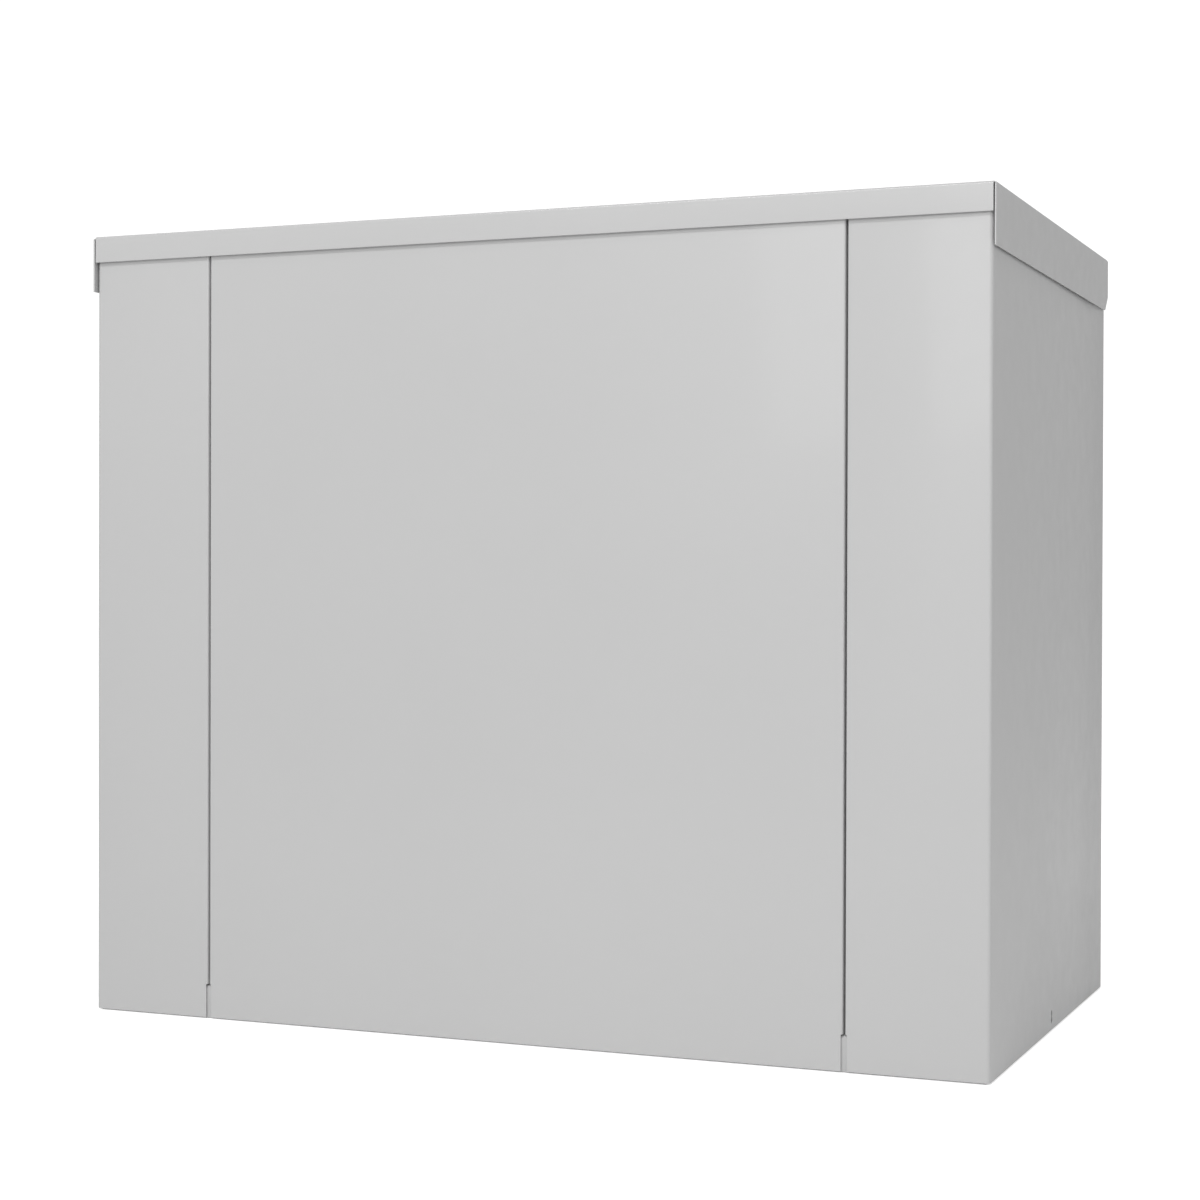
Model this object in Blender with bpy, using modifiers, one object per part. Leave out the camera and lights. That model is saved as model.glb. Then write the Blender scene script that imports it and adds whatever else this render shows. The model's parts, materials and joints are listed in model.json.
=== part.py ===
"""Home standby generator: a folded sheet-steel cabinet with a hinged lid, an air-cooled
single-cylinder gas engine, a direct-coupled alternator and the electrical compartment.

Metres, +Z up. The long seamed wall faces -Y, the plain end wall faces +X and the cabinet
stands on z = 0. The lid hinges at the back (+Y). The crankshaft runs along X.
"""

import math

import bmesh
import bpy
from mathutils import Matrix, Vector

# --- Cabinet ------------------------------------------------------------------------
LENGTH = 0.855            # body along X, outside the end walls
DEPTH = 0.496             # body along Y, outside the long walls
HEIGHT = 0.730            # ground to the top of the lid
SHEET = 0.0015            # cabinet sheet thickness
GAP = 0.0003              # air left between two faces that touch
BEND = 0.0025             # outside bend radius of the folded sheets
CORNER_BEND = 0.0035      # outside radius of the cabinet's vertical corners
SEAM_BEND = 0.0016        # outside bend radius on both sides of a seam
PAN_HEIGHT = 0.031        # top of the base pan above the ground
PAN_FOOT = 0.030          # width of the pan's in-turned feet
WALL_PAN_GAP = 0.0004     # air between the walls and the pan's skirts
WALL_LIFT = 0.0015        # bottom edge of the walls above the ground
STRIP = 0.1215            # face strip that each end wall turns round the corner
SEAM = 0.0020             # open joint between a strip and the centre panel
SEAM_FLANGE = 0.016       # return flange at each seam
SEAM_STOP = 0.001         # seam flanges stop this far above the pan
RIM_FLANGE = 0.016        # in-turned flange round the top of the walls
SEAL = 0.0024             # foam seal thickness when closed
SLOT_Z = 0.0135           # centre height of the tie-down slot in the right end wall
SLOT_LOBE = 0.0030        # radius of each end of that slot
SLOT_SPAN = 0.0058        # distance between the two ends
CONDUIT = (0.300, 0.150, 0.022)       # hole in the pan: X, Y and radius
CONTROL_CABLE = (0.235, 0.150, 0.014)
DRAIN = (-0.330, 0.150, 0.008)        # one of a pair, at both signs of Y

# --- Louvres ------------------------------------------------------------------------
LOUVRE_PITCH = 0.028
LOUVRE_REACH = 0.009      # how far a blade reaches into the cabinet
LOUVRE_LEAN = math.radians(-52.0)
INLET_WIDTH = 0.270       # bank in the left end wall
INLET_BOTTOM = 0.110
INLET_ROWS = 9
OUTLET_X = 0.150          # two banks in the back panel, either side of the middle
OUTLET_WIDTH = 0.240
OUTLET_DROP = 0.330       # lowest blade below the top of the lid
OUTLET_ROWS = 8

# --- Lid and its hardware -----------------------------------------------------------
LID_REACH = 0.0030        # lid's outer face beyond the body's, all round
LID_SIDE = 0.052          # height of the lid's end flanges
LID_FRONT = 0.0245        # height of the lid's front and back flanges
LID_NOTCH = 0.014         # chamfer on the rear lower corners of the end flanges
LID_OPEN = math.radians(62.0)
LINER = 0.018             # acoustic foam under the lid
LINER_INSET = 0.042       # from the walls' outer faces
LINER_LOCK_ROOM = 0.020   # kept free for the catch at the left end
LINER_PROP_ROOM = 0.040   # kept free for the prop rod at the right end
HINGE_X = 0.270           # distance of each lid hinge from the middle
HINGE_LENGTH = 0.070
HINGE_PIN = 0.0025        # hinge pin radius
HINGE_PLAY = 0.0003       # radial clearance round the pin
KNUCKLE = 0.0045          # hinge knuckle radius
KNUCKLE_ROOM = 0.0008     # leaf's clearance round the other leaf's knuckle
HINGE_OUT = 0.0052        # hinge axis behind the lid's back flange
HINGE_DROP = 0.030        # body leaf below the hinge axis
LEAF = 0.0020             # hinge leaf thickness
LOCK_DROP = 0.090         # lock below the top of the lid
LOCK_R = 0.011
CAM_LENGTH = 0.032
CAM_HALF = 0.008
CAM_THICK = 0.003
CAM_INSIDE = 0.030        # cam inside the end wall's outer face
CATCH = 0.002             # thickness of the catch, bracket and keeper
PROP_INSIDE = 0.0255      # prop rod inside the right end wall's outer face
PROP_R = 0.003
PROP_FRONT = 0.088        # rod's pivot behind the front face
PROP_DROP = 0.030         # rod's pivot below the top of the lid
PROP_REST_DROP = 0.014    # rod's end below the top of the lid when it stands on the keeper
PROP_HOOK = 0.010         # sideways end of the rod

# --- Engine -------------------------------------------------------------------------
CRANK_Y = 0.020           # crankshaft centre
CRANK_Z = 0.205
CRANK_R = 0.0150          # main journal radius
RUN = 0.0004              # radial running clearance round a turning part
CASE_X = (-0.235, -0.075)     # crankcase ends
CASE_HALF_Y = 0.098
CASE_Z = (0.100, 0.262)
LEAN = math.radians(-20.0)    # cylinder leans towards the front
DECK = 0.092              # cylinder joint face above the crankshaft
BORE_R = 0.056            # cylinder barrel radius
FIN_R = 0.074
FIN_COUNT = 7
FIN_PITCH = 0.0105
FIN_THICK = 0.0030
HEAD_HALF = (0.060, 0.066)    # cylinder head half sizes along X and across
HEAD_THICK = 0.046
HEAD_FIN_PITCH = 0.0135
PLUG_HIGH = 0.0225        # spark plug above the head's joint face
COVER_THICK = 0.036
FAN_R = 0.112             # flywheel radius
FAN_X = (-0.300, -0.262)
FAN_BLADES = 14
SHROUD_X = (-0.318, -0.238)
SHROUD_R = 0.128
SHROUD_MOUTH = 0.062      # radius of the cooling air's inlet
STARTER_R = 0.034
STARTER_LENGTH = 0.116
STARTER_Z = 0.165
SOLENOID_R = 0.018
FILTER_R = 0.031
FILTER_LENGTH = 0.074
FILTER_RISE = 0.002       # oil filter above the starter
FILTER_Z = STARTER_Z + STARTER_R + FILTER_RISE + FILTER_R
FILTER_INSET = 0.042      # oil filter's axis inside the crankcase's right end
DIP_SIDE = 0.045          # dipstick to the left of the cylinder
DIP_BACK = 0.072          # dipstick behind the crankshaft
DIP_TOP = 0.300
DIP_ROD = 0.005
DIP_LENGTH = 0.150

# --- Alternator ---------------------------------------------------------------------
ADAPTER_X = (-0.0745, -0.030)
ADAPTER_R = 0.094
ADAPTER_WINDOWS = 6
STATOR_X = (-0.0295, 0.1100)
STATOR_R = 0.100
STATOR_WALL = 0.026
STATOR_FOOT_X = (0.015, 0.085)
BELL_X = (0.1103, 0.1400)
ROTOR_R = 0.072
ROTOR_INSET = (0.026, 0.020)  # rotor inside the stator's left and right ends

# --- Cradle -------------------------------------------------------------------------
ISOLATOR_R = 0.020
ISOLATOR_H = 0.026
ISOLATOR_X = (("left", -0.215), ("right", 0.110))
CRADLE_Y = 0.085          # mounting rails either side of the crankshaft
CRADLE_W = 0.034
CRADLE_T = 0.028
CROSS_X = (-0.200, 0.070)     # cross members
CROSS_HALF = 0.014

# --- Intake and exhaust -------------------------------------------------------------
MIXER_LENGTH = 0.070
MIXER_R = 0.020
THROAT_R = 0.012
NOZZLE_REACH = 0.012      # gas nozzle beyond the mixer's side
THROTTLE_X = 0.038        # throttle shaft's distance along the mixer
THROTTLE_REACH = 0.030
GOVERNOR_REACH = 0.058
LEVER_THICK = 0.003
LEVER_HALF = 0.005        # half the width of a lever
CLEANER = (0.120, 0.170, 0.100)   # air cleaner along X, along Y, height
CLEANER_DROP = 0.030      # air cleaner's underside below the mixer's axis
MUFFLER_AT = (-0.330, 0.485)  # X and Z of its axis
MUFFLER_R = 0.055
MUFFLER_HALF = 0.135
PIPE_R = 0.014
PIPE_BEND = 0.022
TAIL_Y = 0.070
TAIL_R = 0.017
TAIL_WALL = 0.002
TAIL_OUT = 0.008          # tail pipe beyond the end wall
TAIL_ROOM = 0.004         # hole in the wall round the tail pipe

# --- Electrical compartment ---------------------------------------------------------
BULKHEAD_X = 0.172
BULKHEAD_DROP = 0.040     # its top edge below the top of the lid
BULKHEAD_FOOT = 0.020
CABLE_HOLE = (0.150, 0.330, 0.024)    # in the bulkhead: Y, Z and radius
BATTERY = (0.196, 0.132, 0.176)   # along X, along Y, height
BATTERY_AT = (0.288, -0.120)
STRAP_HALF = 0.014
STRAP_FOOT = 0.018
BOX = (0.176, 0.205, 0.150)       # control box along X, along Y, height
BOX_Y = -0.085
BOX_DROP = 0.058          # its top below the top of the lid
BUTTON_R = 0.0070
BUTTON_ROOM = 0.0005      # radial clearance round a button
BUTTON_ROW = 0.040        # buttons behind the box's front edge
BUTTON_DEEP = 0.0040
BUTTON_TRAVEL = 0.0025
BREAKER = (0.052, 0.074, 0.070)
BREAKER_Y = 0.075
TOGGLE_LEAN = math.radians(20.0)
TOGGLE_R = 0.009
TOGGLE_DROP = 0.012       # toggle's pivot below the breaker's face

# --- Fuel ---------------------------------------------------------------------------
FUEL_X = 0.100
FUEL_Z = 0.110
FUEL_R = 0.0085
FUEL_OUT = 0.009          # inlet beyond the back panel
VALVE_INSIDE = 0.026      # valve inside the back panel's outer face
VALVE_HALF = 0.014
VALVE_REACH = 0.042
REGULATOR_Y = (0.130, 0.180)
REGULATOR_Z = 0.255
REGULATOR_R = 0.062
HOSE_R = 0.006

# --- Places that follow from the sizes ----------------------------------------------
HALF_X = LENGTH / 2
HALF_Y = DEPTH / 2
SEAM_X = HALF_X - STRIP                       # edge of each corner strip
RIM_Z = HEIGHT - SHEET - SEAL - 2 * GAP       # top of the walls
UNDER_LID = HEIGHT - SHEET - GAP
PAN_X = HALF_X - SHEET - WALL_PAN_GAP
PAN_Y = HALF_Y - SHEET - WALL_PAN_GAP
FLOOR_Z = PAN_HEIGHT + GAP                    # what stands on the pan starts here
RELIEF_Z = PAN_HEIGHT + SEAM_STOP
HINGE_Y = HALF_Y + LID_REACH + HINGE_OUT
HINGE_Z = HEIGHT - LID_FRONT - HINGE_OUT
LOCK_Z = HEIGHT - LOCK_DROP
PROP_X = HALF_X - PROP_INSIDE
PROP_PIVOT = (PROP_FRONT - HALF_Y, HEIGHT - PROP_DROP)      # Y and Z
PROP_REST = (0.0, HEIGHT - PROP_REST_DROP)                  # Y and Z
CRADLE_Z = FLOOR_Z + ISOLATOR_H + GAP         # underside of the engine cradle
FEET_Z = CRADLE_Z + CRADLE_T + GAP            # underside of the engine feet
CYL_X = (CASE_X[0] + CASE_X[1]) / 2
BARREL = FIN_COUNT * FIN_PITCH + 0.006
HEAD_AT = DECK + GAP + BARREL + GAP           # along the cylinder's axis
COVER_AT = HEAD_AT + HEAD_THICK + GAP
DIP = (CYL_X - DIP_SIDE, CRANK_Y + DIP_BACK)
BOX_LEFT = BULKHEAD_X + SHEET + GAP
BOX_TOP = HEIGHT - BOX_DROP
BULKHEAD_TOP = HEIGHT - BULKHEAD_DROP
VALVE_Y = HALF_Y - VALVE_INSIDE
NEAR = 0.00001                                # tolerance when picking edges by place
QUARTER = math.pi / 2
MERGE = 0.00005                               # points closer than this are one

PARTS = bpy.data.collections.new("home_standby_generator")
CUTTERS = bpy.data.collections.new("cutters")

for old in list(bpy.data.objects):
    bpy.data.objects.remove(old, do_unlink=True)
bpy.context.scene.collection.children.link(PARTS)
bpy.context.scene.collection.children.link(CUTTERS)

MATERIALS = {
    "powder_coat": ((0.56, 0.56, 0.555), 0.55, 0.0),
    "dark_steel": ((0.09, 0.09, 0.095), 0.5, 0.6),
    "zinc": ((0.62, 0.62, 0.60), 0.35, 1.0),
    "cast_aluminium": ((0.60, 0.61, 0.62), 0.45, 1.0),
    "engine_black": ((0.035, 0.035, 0.037), 0.5, 0.2),
    "rubber": ((0.03, 0.03, 0.03), 0.85, 0.0),
    "foam": ((0.07, 0.07, 0.075), 0.95, 0.0),
    "aluminised_steel": ((0.48, 0.47, 0.45), 0.5, 1.0),
    "black_plastic": ((0.03, 0.03, 0.032), 0.45, 0.0),
    "grey_plastic": ((0.30, 0.31, 0.32), 0.5, 0.0),
    "brass": ((0.72, 0.55, 0.25), 0.35, 1.0),
    "copper": ((0.65, 0.33, 0.18), 0.4, 1.0),
    "yellow_plastic": ((0.80, 0.55, 0.05), 0.45, 0.0),
    "red_plastic": ((0.60, 0.04, 0.03), 0.4, 0.0),
    "green_plastic": ((0.05, 0.35, 0.10), 0.4, 0.0),
    "ceramic_white": ((0.85, 0.85, 0.82), 0.25, 0.0),
}


# --- Building blocks ----------------------------------------------------------------
def material(name):
    found = bpy.data.materials.get(name)
    if found:
        return found
    colour, roughness, metallic = MATERIALS[name]
    made = bpy.data.materials.new(name)
    made.use_nodes = True
    shader = made.node_tree.nodes["Principled BSDF"]
    shader.inputs["Base Color"].default_value = (*colour, 1.0)
    shader.inputs["Roughness"].default_value = roughness
    shader.inputs["Metallic"].default_value = metallic
    return made


def add(name, bm, finish, origin=(0.0, 0.0, 0.0)):
    """Turn a bmesh into a named part whose origin sits at the given point."""
    mesh = bpy.data.meshes.new(name)
    bmesh.ops.translate(bm, verts=bm.verts, vec=-Vector(origin))
    bm.to_mesh(mesh)
    bm.free()
    part = bpy.data.objects.new(name, mesh)
    part.location = origin
    if finish:
        mesh.materials.append(material(finish))
        PARTS.objects.link(part)
    else:
        part.hide_render = True
        part.display_type = "WIRE"
        CUTTERS.objects.link(part)
    mesh.shade_smooth()
    mesh.set_sharp_from_angle(angle=math.radians(35.0))
    return part


def add_block(bm, low, high):
    """Add one box between two corners."""
    size = [b - a for a, b in zip(low, high)]
    middle = [(a + b) / 2.0 for a, b in zip(low, high)]
    place = Matrix.Translation(middle) @ Matrix.Diagonal((*size, 1.0))
    bmesh.ops.create_cube(bm, size=1.0, matrix=place)


def blocks(name, finish, *corners, origin=(0.0, 0.0, 0.0)):
    bm = bmesh.new()
    for low, high in corners:
        add_block(bm, low, high)
    return add(name, bm, finish, origin)


def rounded_block(name, finish, low, high, radius, segments=2, origin=(0.0, 0.0, 0.0)):
    part = blocks(name, finish, (low, high), origin=origin)
    bevel = part.modifiers.new("rounded", "BEVEL")
    bevel.width = radius
    bevel.segments = segments
    return part


def along(axis):
    """Rotation that takes +Z to the given axis."""
    return Vector((0.0, 0.0, 1.0)).rotation_difference(Vector(axis)).to_matrix().to_4x4()


def add_rod(bm, start, end, radius, sides=16, end_radius=None):
    """Add one solid cylinder, or cone, between two points."""
    start, end = Vector(start), Vector(end)
    place = Matrix.Translation((start + end) / 2.0) @ along((end - start).normalized())
    bmesh.ops.create_cone(
        bm, cap_ends=True, cap_tris=False, segments=sides, radius1=radius,
        radius2=radius if end_radius is None else end_radius,
        depth=(end - start).length, matrix=place)


def rods(name, finish, *runs, sides=16, origin=(0.0, 0.0, 0.0)):
    bm = bmesh.new()
    for start, end, radius in runs:
        add_rod(bm, start, end, radius, sides)
    return add(name, bm, finish, origin)


def turned(name, finish, profile, place, steps=32):
    """Turn a closed outline of (radius, height) points about the Z axis of `place`."""
    bm = bmesh.new()
    points = [bm.verts.new((radius, 0.0, height)) for radius, height in profile]
    for first, second in zip(points, points[1:]):
        bm.edges.new((first, second))
    if profile[0][0] > 0.0:
        bm.edges.new((points[-1], points[0]))
    part = add(name, bm, finish)
    part.matrix_world = place
    screw = part.modifiers.new("turned", "SCREW")
    screw.steps = steps
    screw.render_steps = steps
    screw.use_merge_vertices = True
    screw.merge_threshold = MERGE
    return part


def tube(name, finish, points, radius, resolution=2, smooth_points=0):
    """A round bar or pipe; a smoothed one keeps straight first and last stretches."""
    curve = bpy.data.curves.new(name, "CURVE")
    curve.dimensions = "3D"
    curve.bevel_depth = radius
    curve.bevel_resolution = resolution
    curve.use_fill_caps = True
    path = [Vector(point) for point in points]
    if smooth_points:
        path = path[:1] + smooth_path(path[1:-1], smooth_points) + path[-1:]
    spline = curve.splines.new("POLY")
    spline.points.add(len(path) - 1)
    for point, position in zip(spline.points, path):
        point.co = (*position, 1.0)
    part = bpy.data.objects.new(name, curve)
    curve.materials.append(material(finish))
    PARTS.objects.link(part)
    return part


def smooth_path(points, count):
    """Catmull-Rom points through the route's own points."""
    ends = [points[0] * 2 - points[1]] + points + [points[-1] * 2 - points[-2]]
    path = []
    for a, b, c, d in zip(ends, ends[1:], ends[2:], ends[3:]):
        for step in range(count):
            t = step / count
            path.append(0.5 * (2 * b + (c - a) * t + (2 * a - 5 * b + 4 * c - d) * t ** 2
                               + (3 * b - a - 3 * c + d) * t ** 3))
    return path + [points[-1]]


def boolean(part, tool, operation):
    change = part.modifiers.new(operation.lower(), "BOOLEAN")
    change.operation = operation
    change.object = tool
    return part


def cut(part, tool):
    return boolean(part, tool, "DIFFERENCE")


def join(part, tool):
    return boolean(part, tool, "UNION")


# --- Folded sheet -------------------------------------------------------------------
def arc(corner, before, after, radius, steps=3):
    """Points of a rounded corner in plan, from the side of `before` to that of `after`."""
    corner, before, after = Vector(corner), Vector(before), Vector(after)
    into = (corner - before).normalized()
    out = (after - corner).normalized()
    start = corner - into * radius
    turns = [QUARTER * k / steps for k in range(steps + 1)]
    return [tuple(start + into * radius * math.sin(turn) + out * radius * (1 - math.cos(turn)))
            for turn in turns]


def upright_chain(points, low, high):
    """An open wall standing on a plan path, between two heights."""
    bm = bmesh.new()
    foot = [bm.verts.new((x, y, low)) for x, y in points]
    edges = [bm.edges.new(pair) for pair in zip(foot, foot[1:])]
    grow(bm, edges, (0.0, 0.0, high - low))
    return bm


def grow(bm, edges, step):
    """Extrude edges by a step and return the new edges."""
    made = bmesh.ops.extrude_edge_only(bm, edges=edges)["geom"]
    points = [item for item in made if isinstance(item, bmesh.types.BMVert)]
    bmesh.ops.translate(bm, verts=points, vec=step)
    moved = set(points)
    return [item for item in made if isinstance(item, bmesh.types.BMEdge)
            and item.verts[0] in moved and item.verts[1] in moved]


def pick(bm, test):
    """Boundary edges whose both ends pass a test of their position."""
    return [edge for edge in bm.edges
            if edge.is_boundary and test(edge.verts[0].co) and test(edge.verts[1].co)]


def fold(bm, edges, out, turn, radius, length, mitre=0.0, steps=3):
    """Bend a flange over from some edges: round the radius, then straight on."""
    out, turn = Vector(out), Vector(turn)
    reached = Vector((0.0, 0.0, 0.0))
    for k in range(1, steps + 1):
        angle = QUARTER * k / steps
        aim = out * radius * math.sin(angle) + turn * radius * (1 - math.cos(angle))
        edges = grow(bm, edges, aim - reached)
        reached = aim
    edges = grow(bm, edges, turn * (length - radius))
    run = out.cross(turn)
    points = sorted({vert for edge in edges for vert in edge.verts}, key=lambda v: v.co.dot(run))
    points[0].co += run * mitre
    points[-1].co -= run * mitre
    return edges


def finish_sheet(name, bm, inside, finish="powder_coat", thick=SHEET):
    """Give an open folded surface its thickness, on the side of an inner point."""
    bmesh.ops.recalc_face_normals(bm, faces=bm.faces)
    inside = Vector(inside)
    facing = sum(face.calc_area() * face.normal.dot(face.calc_center_median() - inside)
                 for face in bm.faces)
    if facing < 0:
        bmesh.ops.reverse_faces(bm, faces=bm.faces)
    part = add(name, bm, finish)
    solid = part.modifiers.new("sheet", "SOLIDIFY")
    solid.thickness = thick
    solid.offset = -1.0
    solid.use_even_offset = True
    return part


def base_pan():
    """Tray with four skirts and in-turned feet, drilled for pipes and drains."""
    bm = bmesh.new()
    place = Matrix.Translation((0.0, 0.0, PAN_HEIGHT))
    place = place @ Matrix.Diagonal((PAN_X - BEND, PAN_Y - BEND, 1.0, 1.0))
    bmesh.ops.create_grid(bm, x_segments=1, y_segments=1, size=1.0, matrix=place)
    sides = [((1, 0), PAN_X - BEND), ((-1, 0), PAN_X - BEND),
             ((0, 1), PAN_Y - BEND), ((0, -1), PAN_Y - BEND)]
    for (dx, dy), reach in sides:
        edges = pick(bm, lambda p: abs(p.x * dx + p.y * dy - reach) < NEAR
                     and abs(p.z - PAN_HEIGHT) < NEAR)
        skirt = fold(bm, edges, (dx, dy, 0), (0, 0, -1), BEND, PAN_HEIGHT - BEND)
        fold(bm, skirt, (0, 0, -1), (-dx, -dy, 0), BEND, PAN_FOOT, mitre=PAN_FOOT)
    pan = finish_sheet("base_pan", bm, (0.0, 0.0, PAN_HEIGHT / 2))
    front_drain = (DRAIN[0], -DRAIN[1], DRAIN[2])
    cut(pan, rods("pan_holes", None, *[
        ((x, y, 0.0), (x, y, 2 * PAN_HEIGHT), radius)
        for x, y, radius in (CONDUIT, CONTROL_CABLE, DRAIN, front_drain)]))
    return cut(pan, slot_cutter("pan_slot"))


def slot_cutter(name):
    """Two round ends and a narrower waist: the tie-down slot, just through the wall."""
    deep, shallow = HALF_X - 0.02, HALF_X + 0.01
    ends = [((deep, 0.0, SLOT_Z + side * SLOT_SPAN / 2),
             (shallow, 0.0, SLOT_Z + side * SLOT_SPAN / 2), SLOT_LOBE) for side in (-1, 1)]
    lower = rods(name + "_lower", None, ends[0], sides=14)
    upper = rods(name + "_upper", None, ends[1], sides=14)
    waist = blocks(name, None, ((deep - 0.001, -SLOT_LOBE * 0.45, SLOT_Z - SLOT_SPAN / 2),
                                (shallow + 0.001, SLOT_LOBE * 0.45, SLOT_Z + SLOT_SPAN / 2)))
    join(waist, lower)
    return join(waist, upper)


def end_wall(name, side):
    """End wall with a strip turned round each corner and a return flange at each seam."""
    seam, outer, wide, deep = SEAM_X, HALF_X, HALF_Y, HALF_Y - SEAM_FLANGE
    corners = [(seam, -wide), (outer, -wide), (outer, wide), (seam, wide)]
    plan = [(seam, -deep)]
    stops = [(seam, -deep)] + corners + [(seam, deep)]
    for before, corner, after, radius in zip(stops, corners, stops[2:],
                                             (SEAM_BEND, CORNER_BEND, CORNER_BEND,
                                              SEAM_BEND)):
        plan += arc(corner, before, after, radius)
    plan.append((seam, deep))
    top = RIM_Z - BEND
    bm = upright_chain(plan, RELIEF_Z, top)
    feet = pick(bm, lambda p: abs(p.z - RELIEF_Z) < NEAR and p.x > seam + SEAM_BEND - NEAR)
    grow(bm, feet, (0.0, 0.0, WALL_LIFT - RELIEF_Z))
    rims = [(lambda p: abs(p.y + wide) < NEAR, (0, 1, 0)),
            (lambda p: abs(p.y - wide) < NEAR, (0, -1, 0)),
            (lambda p: abs(p.x - outer) < NEAR, (-1, 0, 0))]
    for on_face, turn in rims:
        edges = pick(bm, lambda p: abs(p.z - top) < NEAR and on_face(p))
        fold(bm, edges, (0, 0, 1), turn, BEND, RIM_FLANGE, mitre=RIM_FLANGE)
    if side < 0:
        bmesh.ops.transform(bm, verts=bm.verts, matrix=Matrix.Diagonal((-1, 1, 1, 1)))
    return finish_sheet(name, bm, (side * (seam + 0.02), 0.0, HEIGHT / 2))


def centre_panel(name, side):
    """Flat centre panel of a long wall with return flanges behind both seams."""
    half = SEAM_X - SEAM
    face, deep = side * HALF_Y, side * (HALF_Y - SEAM_FLANGE)
    plan = [(-half, deep)]
    plan += arc((-half, face), (-half, deep), (half, face), SEAM_BEND)
    plan += arc((half, face), (-half, face), (half, deep), SEAM_BEND)
    plan.append((half, deep))
    top = RIM_Z - BEND
    bm = upright_chain(plan, RELIEF_Z, top)
    feet = pick(bm, lambda p: abs(p.z - RELIEF_Z) < NEAR and abs(p.y - face) < NEAR)
    grow(bm, feet, (0.0, 0.0, WALL_LIFT - RELIEF_Z))
    rim = pick(bm, lambda p: abs(p.z - top) < NEAR and abs(p.y - face) < NEAR)
    fold(bm, rim, (0, 0, 1), (0, -side, 0), BEND, RIM_FLANGE)
    return finish_sheet(name, bm, (0.0, side * (HALF_Y - 0.012), HEIGHT / 2))


def louvres(panel, name, middle, inward, width, bottom, count):
    """Rows of pressed louvres: a slot under a blade that slopes down into the cabinet."""
    inward = Vector(inward)
    across = inward.cross(Vector((0, 0, 1)))
    slots, blades = bmesh.new(), bmesh.new()
    start = Vector((*middle, 0.0))
    turn = Matrix((across, inward, Vector((0, 0, 1)))).transposed().to_4x4()
    for row in range(count):
        z = bottom + row * LOUVRE_PITCH
        place = Matrix.Translation(start + Vector((0, 0, z))) @ turn
        blade = place @ Matrix.Translation((0, SHEET * 0.5, 0))
        blade = blade @ Matrix.Rotation(LOUVRE_LEAN, 4, "X")
        blade = blade @ Matrix.Translation((0, 0, LOUVRE_REACH * 0.62))
        size = Matrix.Diagonal((width, SHEET, LOUVRE_REACH * 1.5, 1.0))
        bmesh.ops.create_cube(blades, size=1.0, matrix=blade @ size)
        hole = place @ Matrix.Translation((0, 0, LOUVRE_PITCH * 0.30))
        hole = hole @ Matrix.Diagonal((width - 0.004, 4 * SHEET, LOUVRE_PITCH * 0.45, 1.0))
        bmesh.ops.create_cube(slots, size=1.0, matrix=hole)
    cut(panel, add(name + "_slots", slots, None))
    return join(panel, add(name + "_blades", blades, None))


def lid():
    """Shallow cover with deep end flanges whose rear lower corners are cut away."""
    reach_x, reach_y = HALF_X + LID_REACH, HALF_Y + LID_REACH
    bm = bmesh.new()
    place = Matrix.Translation((0.0, 0.0, HEIGHT))
    place = place @ Matrix.Diagonal((reach_x - BEND, reach_y - BEND, 1.0, 1.0))
    bmesh.ops.create_grid(bm, x_segments=1, y_segments=1, size=1.0, matrix=place)
    for dx in (-1, 1):
        edges = pick(bm, lambda p: abs(p.x - dx * (reach_x - BEND)) < NEAR)
        fold(bm, edges, (dx, 0, 0), (0, 0, -1), BEND, LID_SIDE)
    for dy in (-1, 1):
        edges = pick(bm, lambda p: abs(p.y - dy * (reach_y - BEND)) < NEAR
                     and abs(p.z - HEIGHT) < NEAR and abs(p.x) < reach_x - BEND + NEAR)
        fold(bm, edges, (0, dy, 0), (0, 0, -1), BEND, LID_FRONT)
    for vert in bm.verts:
        on_end = abs(abs(vert.co.x) - reach_x) < NEAR
        if on_end and vert.co.z < HEIGHT - BEND + NEAR:
            vert.co.y = math.copysign(reach_y, vert.co.y)
    cover = finish_sheet("lid", bm, (0.0, 0.0, HEIGHT - LID_SIDE))
    notch = bmesh.new()
    place = Matrix.Translation((0.0, reach_y, HEIGHT - LID_SIDE))
    place = place @ Matrix.Rotation(math.radians(45.0), 4, "X")
    side = LID_NOTCH * math.sqrt(2.0)
    bmesh.ops.create_cube(notch, size=1.0,
                          matrix=place @ Matrix.Diagonal((1.0, side, side, 1.0)))
    cut(cover, add("lid_notch", notch, None))
    return cover


def rim_seal():
    """Closed foam ring on the rim flanges."""
    low, high = RIM_Z + GAP, RIM_Z + GAP + SEAL
    inset, width = CORNER_BEND, RIM_FLANGE - 2 * BEND
    outer = (HALF_X - inset, HALF_Y - inset)
    ring = blocks("rim_seal", "foam", ((-outer[0], -outer[1], low), (*outer, high)))
    hole = (outer[0] - width, outer[1] - width)
    cut(ring, blocks("seal_hole", None, ((-hole[0], -hole[1], low - 0.01),
                                         (*hole, high + 0.01))))


def lid_liner():
    """Foam slab glued under the lid, clear of the catch and the prop rod."""
    reach_x, reach_y = HALF_X - LINER_INSET, HALF_Y - LINER_INSET
    low = (LINER_LOCK_ROOM - reach_x, -reach_y, UNDER_LID - LINER)
    high = (reach_x - LINER_PROP_ROOM, reach_y, UNDER_LID)
    rounded_block("lid_liner", "foam", low, high, 0.004, 1)


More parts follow.
